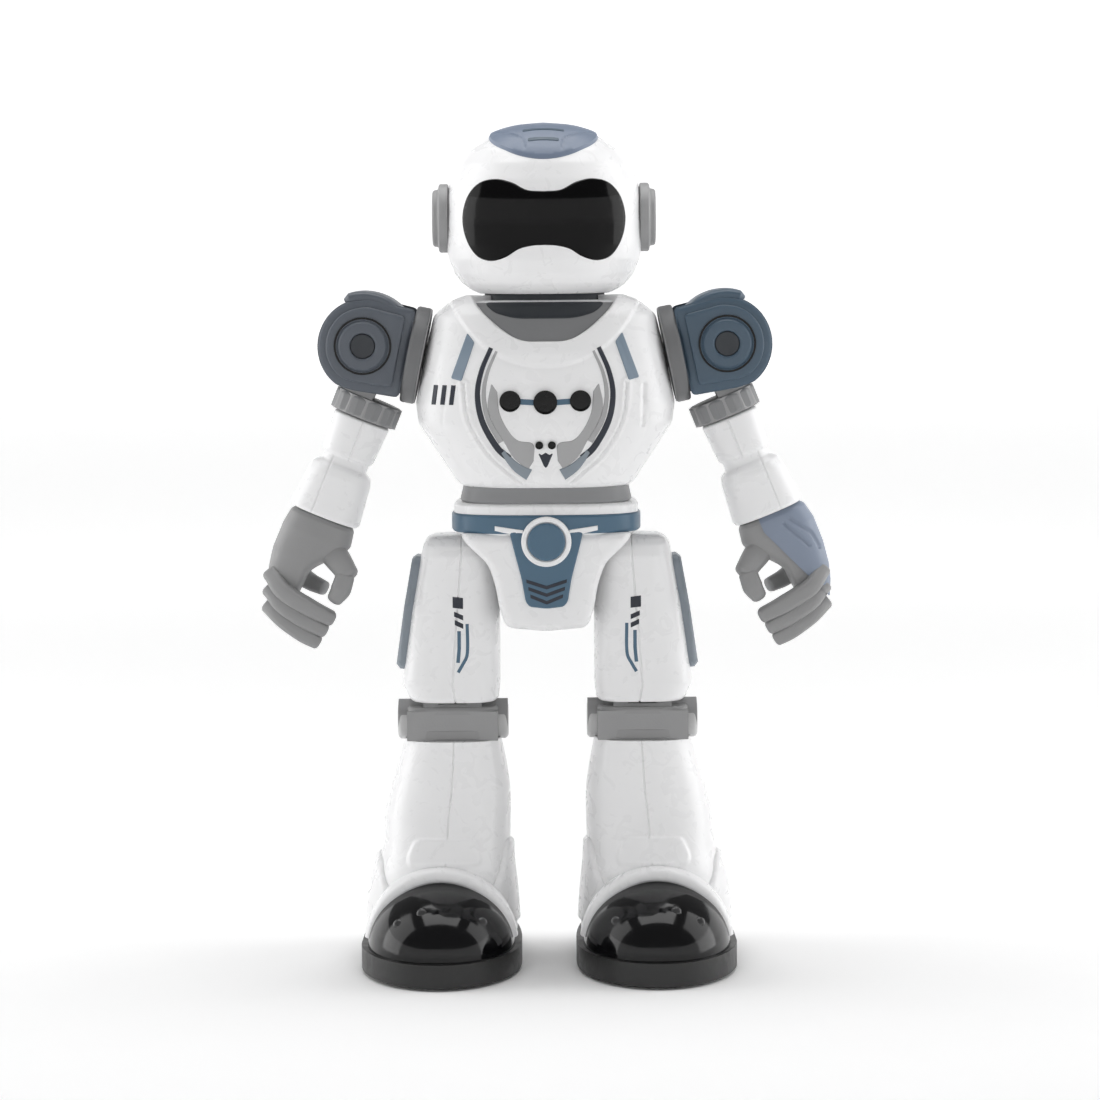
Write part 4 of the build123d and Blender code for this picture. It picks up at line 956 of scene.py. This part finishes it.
def make_arm(side, sign):
    rows = [(14.6, 9.9, 9.9), (14.9, 10.6, 10.6), (15.6, 10.9, 10.9), (20.2, 10.8, 10.8),
            (20.9, 10.4, 10.4), (21.1, 9.4, 9.4)]
    grid, local = arm_section(rows, 2.0, 288)
    angle = np.arctan2(local[..., 1], local[..., 0])
    facet = math.pi / 6
    wave = np.cos(facet / 2) / np.cos((angle + facet / 2) % facet - facet / 2)
    groove = 1 - 0.018 * (1 - ramp(np.abs((angle + facet / 2) % facet - facet / 2) * 10, 0.12, 0.5))
    shaped = np.array([[arm_point(p[0] * w * g, p[1] * w * g, p[2]) for p, w, g in zip(r, ws, gs)] for r,
                       ws, gs in zip(local, wave, groove)])
    build(f"arm_ring_{side}", *sided(capped(shaped), sign), COLLAR_GREY, f"arm_ball_{side}", "grey_shell",
          (), 30)

    rows = [(21.4, 8.4, 8.4), (21.9, 9.0, 8.9), (33.2, 8.3, 8.2), (34.0, 7.9, 7.8), (34.2, 7.3, 7.3),
            (36.8, 7.3, 7.3), (37.2, 8.3, 8.2),
            (38.2, 9.4, 9.2), (40.5, 10.1, 9.8), (52.6, 11.3, 10.9), (53.5, 10.8, 10.4)]
    grid, local = arm_section(rows, 2.5, 260, (-1.2, 4.8))
    flat = local.reshape(-1, 3).copy()
    front = flat[:, 1] < 0
    upper = flat[:, 2] < 34.5
    where = np.where(upper, flat[:, 0] + 1.0, flat[:, 0] - 3.9)
    cut = 0.35 * (1 - ramp(np.abs(where), 0.1, 0.4)) * front
    rear = 0.3 * (1 - ramp(np.abs(flat[:, 0]), 0.1, 0.5)) * (~front)
    size = np.hypot(flat[:, 0], flat[:, 1])
    keep = (size - cut - rear) / np.maximum(size, 1e-6)
    points = np.array([arm_point(x * k, y * k, a) for (x, y, a), k in zip(flat, keep)]).reshape(grid.shape)
    build(f"arm_sleeve_{side}", *sided(capped(points), sign), WHITE, f"arm_{side}", "white_shell",
          (f"arm_shell_{side}",), 50)


def hand_bar(points, wide, deep, power=3.4):
    return swept([arm_point(*p) for p in points], wide, deep, power, side_axis=(0, 1, 0))


def make_hand(side, sign):
    top = 54.0
    rows = [(top, 9.4, 8.2), (top + 1.2, 10.4, 9.0), (top + 6, 11.2, 9.4), (top + 14, 10.9, 9.0),
            (top + 21, 9.6, 8.0), (top + 27, 7.6, 6.6),
            (top + 31, 4.8, 5.0), (top + 32.4, 1.5, 2.2)]
    grid, local = arm_section(rows, 2.7, 150)
    flat = local.reshape(-1, 3).copy()
    lower = ramp(flat[:, 2], top + 5, top + 19)
    inner = np.clip(-flat[:, 0], 0, None)
    flat[:, 0] += lower * inner * 0.75 + lower * 0.6
    points = np.array([arm_point(*p) for p in flat]).reshape(grid.shape)
    shapes = [capped(points)]
    for i in range(3):
        along = top + 23.4 + 4.3 * i
        y = -5.6 + 1.5 * i
        start = (7.9 - 1.6 * i, y + 2.0, along - 1.0 + 0.6 * i)
        bend = (2.6 - 1.6 * i, y - 1.6, along + 2.0)
        shapes.append(hand_bar([start, bend, (-6.0 - 0.6 * i, y - 2.6, along + 3.6),
                                (-13.4 + 0.9 * i, y - 1.4, along + 4.4)], (2.7, 2.75, 2.7, 2.35),
                                (4.0, 4.2, 4.0, 3.3)))
    shapes.append(hand_bar([(5.0, 6.0, top + 18), (-2.0, 7.4, top + 21), (-7.6, 5.4, top + 21.4)],
                           (3.0, 2.8, 2.3), (3.6, 3.4, 2.8)))
    shapes.append(hand_bar([(-3.4, -2.5, top + 7.4), (-9.0, -5.2, top + 10.4), (-13.4, -7.2, top + 13.2)],
                           (4.2, 4.0, 3.3), (4.2, 3.8, 3.2), 2.8))
    shapes.append(hand_bar([(-13.0, -7.6, top + 14.6), (-13.2, -8.2, top + 18.4),
                            (-12.6, -8.2, top + 21.6)], (3.0, 3.2, 2.5), (3.0, 3.2, 2.6), 2.6))
    build(f"hand_body_{side}", *sided(join(*shapes), sign), HAND_GREY, f"hand_{side}", "grey_shell",
          (f"hand_{side}",), 55)
    if side == "left":
        rows = [(top - 0.2, 9.9, 8.8), (top + 1.0, 11.2, 9.8), (top + 6, 12.3, 10.2),
                (top + 14, 12.2, 9.9), (top + 21, 11.3, 8.9), (top + 26, 9.9, 7.6), (top + 30.5, 7.8, 6.6)]
        grid, local = arm_section(rows, 2.7, 220)
        flat = local.reshape(-1, 3).copy()
        grooves = np.zeros(len(flat))
        for line in ([(3.0, top + 4), (7.4, top + 13)], [(5.0, top + 3.4), (9.6, top + 10.0),
                                                         (10.2, top + 15.0)]):
            grooves += 0.5 * (1 - ramp(line_distance(flat[:, [0, 2]], line), 0.25, 0.75)) * (flat[:, 1] < 0)
        size = np.hypot(flat[:, 0], flat[:, 1])
        k = (size - grooves) / size
        edge = -4.0 + 0.43 * np.clip(flat[:, 2] - (top + 4), 0, None)
        out = np.maximum(flat[:, 0] * k, edge)
        points = np.array([arm_point(o + 0.3, y * j, a) for o, y, a,
                           j in zip(out, flat[:, 1], flat[:, 2], k)]).reshape(grid.shape)
        build("glove_panel_left", *capped(points), GLOVE, "hand_left", "glove_blue", ("glove_cover_left",),
              40)


# ---- legs ---------------------------------------------------------------------------------------
THIGH = [(82.0, 28.9, 13.2, LEG_Y - 14.6, LEG_Y + 14.6), (82.8, 29.0, 14.0, LEG_Y - 15.2, LEG_Y + 15.2),
         (87.5, 29.8, 15.2, LEG_Y - 15.6, LEG_Y + 15.6),
         (110.0, 28.2, 13.6, LEG_Y - 15.4, LEG_Y + 15.4), (127.0, 26.7, 12.1, LEG_Y - 15.0, LEG_Y + 15.0),
         (130.4, 26.6, 11.5, LEG_Y - 14.0, LEG_Y + 14.0), (132.2, 26.6, 10.4, LEG_Y - 11.8, LEG_Y + 11.8),
         (133.1, 26.6, 8.4, LEG_Y - 8.0, LEG_Y + 8.0)]
SHIN = [(8.0, 33.2, 23.2, -11.6, 43.0), (20.0, 33.2, 22.4, -14.6, 41.4), (30.0, 32.6, 20.8, -15.8, 38.0),
        (36.0, 31.9, 19.9, -14.0, 35.2),
        (46.6, 31.3, 19.6, -11.2, 30.6), (54.0, 30.4, 18.6, -9.8, 28.2), (62.0, 29.8, 16.8, -8.6, 26.0),
        (69.9, 29.4, 14.8, -7.5, 23.6)]


def shell_grid(rows, levels, power, count, soften, seam):
    sections = smooth_rows(rows, levels, soften)
    middle = sections[len(sections) // 2]
    grid = tube_points(sections, power, even_angles(count, power, middle[2], (middle[4] - middle[3]) / 2,
                                                    (seam,)))
    place = (grid[..., 0] - sections[:, 1:2]) / sections[:, 2:3] * middle[2]
    return grid, place


def make_thigh(side, sign):
    levels = np.concatenate([np.linspace(82, 128, 90, endpoint=False), np.linspace(128, 133.1, 22)])
    grid, place = shell_grid(THIGH, levels, 3.6, 240, 0.6, -0.6)
    plain = capped(grid)
    normals = grid_normals(grid)
    groove = 0.4 * (1 - ramp(np.abs(place + 0.6), 0.1, 0.4))
    hip = np.hypot(grid[..., 1] - LEG_Y, grid[..., 2] - 120.0)
    inside = grid[..., 0] < 20
    groove = groove + 0.5 * (1 - ramp(np.abs(hip - 7.5), 0.2, 0.6)) * inside
    grid = grid - normals * groove[..., None]
    build(f"thigh_{side}_shell", *sided(capped(grid), sign), WHITE, f"thigh_{side}", "white_shell",
          (f"thigh_shell_{side}",), 50)
    surface = Surface(*plain)
    bar = rounded([(0.5, 93.0), (2.5, 91.5), (13.5, 91.5), (15.5, 93.5), (15.5, 124.5), (13.5, 126.5),
                   (2.5, 126.5), (0.5, 124.5)], 2.0)
    points, faces = plate_mesh(surface, bar, 2.6, sink=0.6, edge=1.3, spacing=1.0, view="left")
    build(f"thigh_bar_{side}", *sided((points, faces), sign), BAR_BLUE, f"thigh_{side}", "blue_shell",
          (f"thigh_trim_{side}",), 50)
    block = [(25.7, 111.2), (28.9, 111.6), (28.9, 115.0), (25.7, 114.6)]
    ticks = [[(25.7, 109.2), (28.5, 110.4), (28.5, 108.9), (25.7, 107.7)],
             [(25.7, 106.6), (28.3, 107.8), (28.3, 106.3), (25.7, 105.1)]]
    shared = dict(sink=0.4, edge=0.12, spacing=0.9)

    def print_on(name, outlines, look, slot):
        p, f = join(*[plate_mesh(surface, o, 0.13, **shared) for o in outlines])
        build(f"{name}_{side}", *sided((p, f), sign), look, f"thigh_{side}", slot)

    print_on("thigh_marks", [block] + ticks, NAVY, "lens_black")
    short = band([(27.0, 104.4), (27.0, 99.0), (27.4, 94.6)], 1.1)
    long = band(curve([(24.5, 106.6), (24.4, 100.0), (24.7, 96.6), (25.9, 94.2), (27.4, 91.6)], 30), 1.0)
    print_on("thigh_lines", [short, long], BELT_BLUE, "blue_shell")


def make_shin(side, sign):
    levels = np.linspace(8, 69.9, 125)
    grid, place = shell_grid(SHIN, levels, 2.8, 260, 2.2, -0.6)
    normals = grid_normals(grid)
    flat = grid.reshape(-1, 3)
    front = (flat[:, 1] < 0)
    patch = edge_distance(flat[:, [0, 2]], rounded([(21.4, 32.6), (42.8, 32.6), (43.4, 35.0), (41.0, 41.0),
                                                    (23.0, 41.0), (20.8, 35.0)], 2.5))
    move = 0.8 * ramp(-patch, -0.5, 0.7) * front
    move -= 0.4 * (1 - ramp(np.abs(place.ravel() + 0.6), 0.1, 0.4)) * front * (patch > -0.5)
    flat = flat + normals.reshape(-1, 3) * move[:, None]
    shell = capped(flat.reshape(grid.shape))
    build(f"shin_{side}_shell", *sided(shell, sign), WHITE, f"foot_{side}", "white_shell",
          (f"shin_shell_{side}",), 50)
    surface = Surface(*shell)
    fairing = rounded([(-9.5, 13.0), (14.0, 11.0), (17.0, 24.0), (9.0, 34.5), (-4.0, 33.0), (-11.0, 24.0)],
                      3.0)
    wings = [plate_mesh(surface, fairing, 1.3, sink=0.8, edge=1.0, spacing=1.3, view="left"),
             inner_wing(surface)]
    build(f"ankle_fairings_{side}", *sided(join(*wings), sign), WHITE, f"foot_{side}", "white_shell", (), 50)
    make_toe(side, sign)


def make_toe(side, sign):
    """The white arch, the smoked dome and its studs."""
    arch = []
    for a in np.radians(np.linspace(8, 172, 60)):
        ring = []
        for t in np.linspace(0, 2 * math.pi, 30, endpoint=False):
            radial = float(signed(np.cos(t), 0.62)) * 2.5
            y = -11.8 - 1.4 * math.sin(a) + float(signed(np.sin(t), 0.62)) * (4.6 + 0.8 * math.sin(a))
            ring.append((FOOT_X + (21.3 + radial) * math.cos(a), y,
                         RIM_TOP - 0.5 + (22.6 + radial) * math.sin(a)))
        arch.append(ring)
    build(f"toe_arch_{side}", *sided(capped(np.array(arch)), sign), WHITE, f"foot_{side}", "white_shell",
          (), 60)

    dome = []
    for v in np.linspace(0, math.pi / 2, 46):
        y = TOE_BACK - TOE_REACH * math.sin(v)
        shrink = max(math.cos(v) ** 0.92, 0.002)
        ring = [(FOOT_X + TOE_HALF * shrink * math.cos(t), y,
                 RIM_TOP + TOE_HEIGHT * shrink * math.sin(t)) for t in np.linspace(0, math.pi, 90)]
        ring += [(FOOT_X - TOE_HALF * shrink * math.cos(t), y, RIM_TOP - 0.4) for t in np.linspace(0.05,
                math.pi - 0.05, 20)]
        dome.append(ring)
    build(f"toe_dome_{side}", *sided(capped(np.array(dome)), sign), TOE_BLACK, f"foot_{side}",
          "smoked_black", (f"toe_cap_{side}",), 60)
    studs = []
    for dx, z in ((5.2, 21.6), (12.4, 18.2), (-12.9, 18.4)):
        height = (z - RIM_TOP) / TOE_HEIGHT
        share = math.sqrt(max(0.0, 1 - height ** 2 - (dx / TOE_HALF) ** 2))
        y = TOE_BACK - TOE_REACH * share
        studs.append(lathe(soft_profile([(-1.0, 0), (-1.0, 1.7), (0.4, 1.6), (0.8, 1.0), (0.9, 0)], 0.35),
                           (FOOT_X + dx, y, z), (dx / 40, -1, 0.55), 32))
    build(f"toe_studs_{side}", *sided(join(*studs), sign), STUD_GREY, f"foot_{side}", "smoked_black")


def inner_wing(surface):
    """The ankle fairing on the side that faces the other leg."""
    outline = rounded([(-9.5, 12.0), (14.0, 11.0), (16.0, 24.0), (8.0, 38.5), (-3.0, 39.0), (-11.0, 26.0)],
                      3.0)
    border = resample(outline, 0.9)
    far = Surface.__new__(Surface)
    far.hit = lambda a, b, view: inner_hit(surface, a, b)
    return plate_mesh(far, border, 1.3, sink=0.8, edge=1.0, spacing=1.3, view="left")


def inner_hit(surface, a, b):
    found = surface.tree.ray_cast(Vector((-5, a, b)), Vector((1, 0, 0)))
    if found[0] is None:
        found = surface.tree.find_nearest(Vector((10, a, b)))
    return found[0], found[1]


def make_knee(side, sign):
    rows = [(69.7, KNEE_X, 13.2, LEG_Y - 11.8, LEG_Y + 11.8),
            (70.4, KNEE_X, 14.1, LEG_Y - 12.6, LEG_Y + 12.6),
            (79.4, KNEE_X, 14.1, LEG_Y - 12.4, LEG_Y + 12.4),
            (80.1, KNEE_X, 13.4, LEG_Y - 11.8, LEG_Y + 11.8)]
    grid = tube(rows, (69.7, 80.1, 36), 0.25, 5.0, 240, 14.1, 12.6)
    normals = grid_normals(grid)
    flat = grid.reshape(-1, 3)
    window = edge_distance(flat[:, [0, 2]], rounded([(KNEE_X - 9, 73.2), (KNEE_X + 9, 73.2),
                                                     (KNEE_X + 9, 77.8), (KNEE_X - 9, 77.8)], 0.8))
    move = -0.7 * ramp(-window, -0.2, 0.35) * (flat[:, 1] < LEG_Y)
    flat = flat + normals.reshape(-1, 3) * move[:, None]
    build(f"knee_wrap_{side}", *sided(capped(flat.reshape(grid.shape)), sign), HAND_GREY, f"foot_{side}",
          "grey_shell", (), 40)
    caps = []
    for toward in (1, -1):
        profile = soft_profile([(12.5, 0), (12.5, 5.9), (16.4, 5.9), (17.2, 5.0), (17.2, 0)], 0.7, 4)
        caps.append(lathe(profile, (KNEE_X, LEG_Y, KNEE_Z - 1.0), (toward, 0, 0), 64))
    build(f"knee_side_caps_{side}", *sided(join(*caps), sign), CAP_GREY, f"foot_{side}", "grey_shell")


# ---- carried-over CAD nodes ---------------------------------------------------------------------
def dress_cad():
    """Give every node its material, and round the edges of those that still show."""
    for node in frame["nodes"].values():
        old = node.data.materials[0].name.split(".")[0] if node.data.materials else "grey_shell"
        look = SLOT_LOOKS.get(old, GREY)
        node.data.materials.clear()
        node.data.materials.append(look)
        if not node.hide_render:
            edge = node.modifiers.new("edges", "BEVEL")
            edge.width = 0.3 * MM
            edge.segments = 2
            edge.limit_method = "ANGLE"
            edge.angle_limit = math.radians(50)
            edge.harden_normals = False


# ---- stage, light and camera --------------------------------------------------------------------
def area_light(name, place, target, size, power, color=(1, 1, 1)):
    data = bpy.data.lights.new(name, "AREA")
    data.shape = "RECTANGLE"
    data.size, data.size_y = size
    data.energy = power
    data.color = color
    lamp = bpy.data.objects.new(name, data)
    lamp.location = place
    lamp.rotation_euler = (Vector(target) - Vector(place)).to_track_quat("-Z", "Y").to_euler()
    bpy.context.scene.collection.objects.link(lamp)


def make_stage():
    """A round pale floor that turns up into a low wall far away; it glows softly away from the middle."""
    cloth = material("stage_white", (0.94, 0.94, 0.94), 0.9, mottle=0.003, bump=0.0)
    nodes, links = cloth.node_tree.nodes, cloth.node_tree.links
    place = nodes.new("ShaderNodeTexCoord")
    reach = nodes.new("ShaderNodeVectorMath")
    reach.operation = "LENGTH"
    glow = nodes.new("ShaderNodeMapRange")
    glow.inputs["From Min"].default_value = 0.25
    glow.inputs["From Max"].default_value = 1.3
    glow.inputs["To Max"].default_value = 0.60
    links.new(place.outputs["Object"], reach.inputs[0])
    links.new(reach.outputs["Value"], glow.inputs["Value"])
    links.new(glow.outputs["Result"], nodes["Principled BSDF"].inputs["Emission Strength"])
    nodes["Principled BSDF"].inputs["Emission Color"].default_value = (1, 1, 1, 1)
    bend = [(5.0 + math.sin(a), 1.0 - math.cos(a)) for a in np.radians(np.linspace(6, 90, 14))]
    profile = [(0.4, 0.0), (1.0, 0.0), (2.5, 0.0), (5.0, 0.0)] + bend + [(6.0, 2.2)]
    around = 96
    turns = [2 * math.pi * k / around for k in range(around)]
    points = [(r * math.cos(t), r * math.sin(t), z) for r, z in profile for t in turns]
    faces = [tuple(range(around))] + [face[::-1] for face in grid_faces(len(profile), around)]
    mesh = bpy.data.meshes.new("backdrop")
    mesh.from_pydata(points, [], faces)
    mesh.materials.append(cloth)
    mesh.shade_smooth()
    backdrop = bpy.data.objects.new("backdrop", mesh)
    bpy.context.scene.collection.objects.link(backdrop)
    world = bpy.data.worlds.new("studio")
    world.use_nodes = True
    world.node_tree.nodes["Background"].inputs["Color"].default_value = (1, 1, 1, 1)
    world.node_tree.nodes["Background"].inputs["Strength"].default_value = 0.20
    bpy.context.scene.world = world
    area_light("left_box", (-0.8, 0.12, 0.42), (0, 0, 0.14), (0.6, 0.9), 3.2)
    area_light("right_box", (0.8, 0.12, 0.42), (0, 0, 0.14), (0.6, 0.9), 3.2)
    area_light("top_box", (0, 0.1, 1.0), (0, 0.02, 0.1), (0.9, 0.7), 6.2)
    bpy.context.scene.view_settings.view_transform = "Standard"


CAMERA_PLACE = (0.0011, -1.1, 0.227)
LENS_LENGTH = 117.2
LOOK_DOWN, ROLL = 5.115, -0.42


def make_camera():
    data = bpy.data.cameras.new("camera")
    data.lens = LENS_LENGTH
    data.sensor_width = 36.0
    camera = bpy.data.objects.new("camera", data)
    camera.location = CAMERA_PLACE
    aim = Matrix.Rotation(math.radians(90 - LOOK_DOWN), 4, "X") @ Matrix.Rotation(math.radians(ROLL), 4, "Z")
    camera.rotation_euler = aim.to_euler()
    bpy.context.scene.collection.objects.link(camera)
    bpy.context.scene.camera = camera


make_camera()
make_stage()
make_head()
make_torso()
make_pelvis()
for side_name, side_sign in SIDES:
    make_shoulder(side_name, side_sign)
    make_arm(side_name, side_sign)
    make_hand(side_name, side_sign)
    make_thigh(side_name, side_sign)
    make_shin(side_name, side_sign)
    make_knee(side_name, side_sign)
dress_cad()
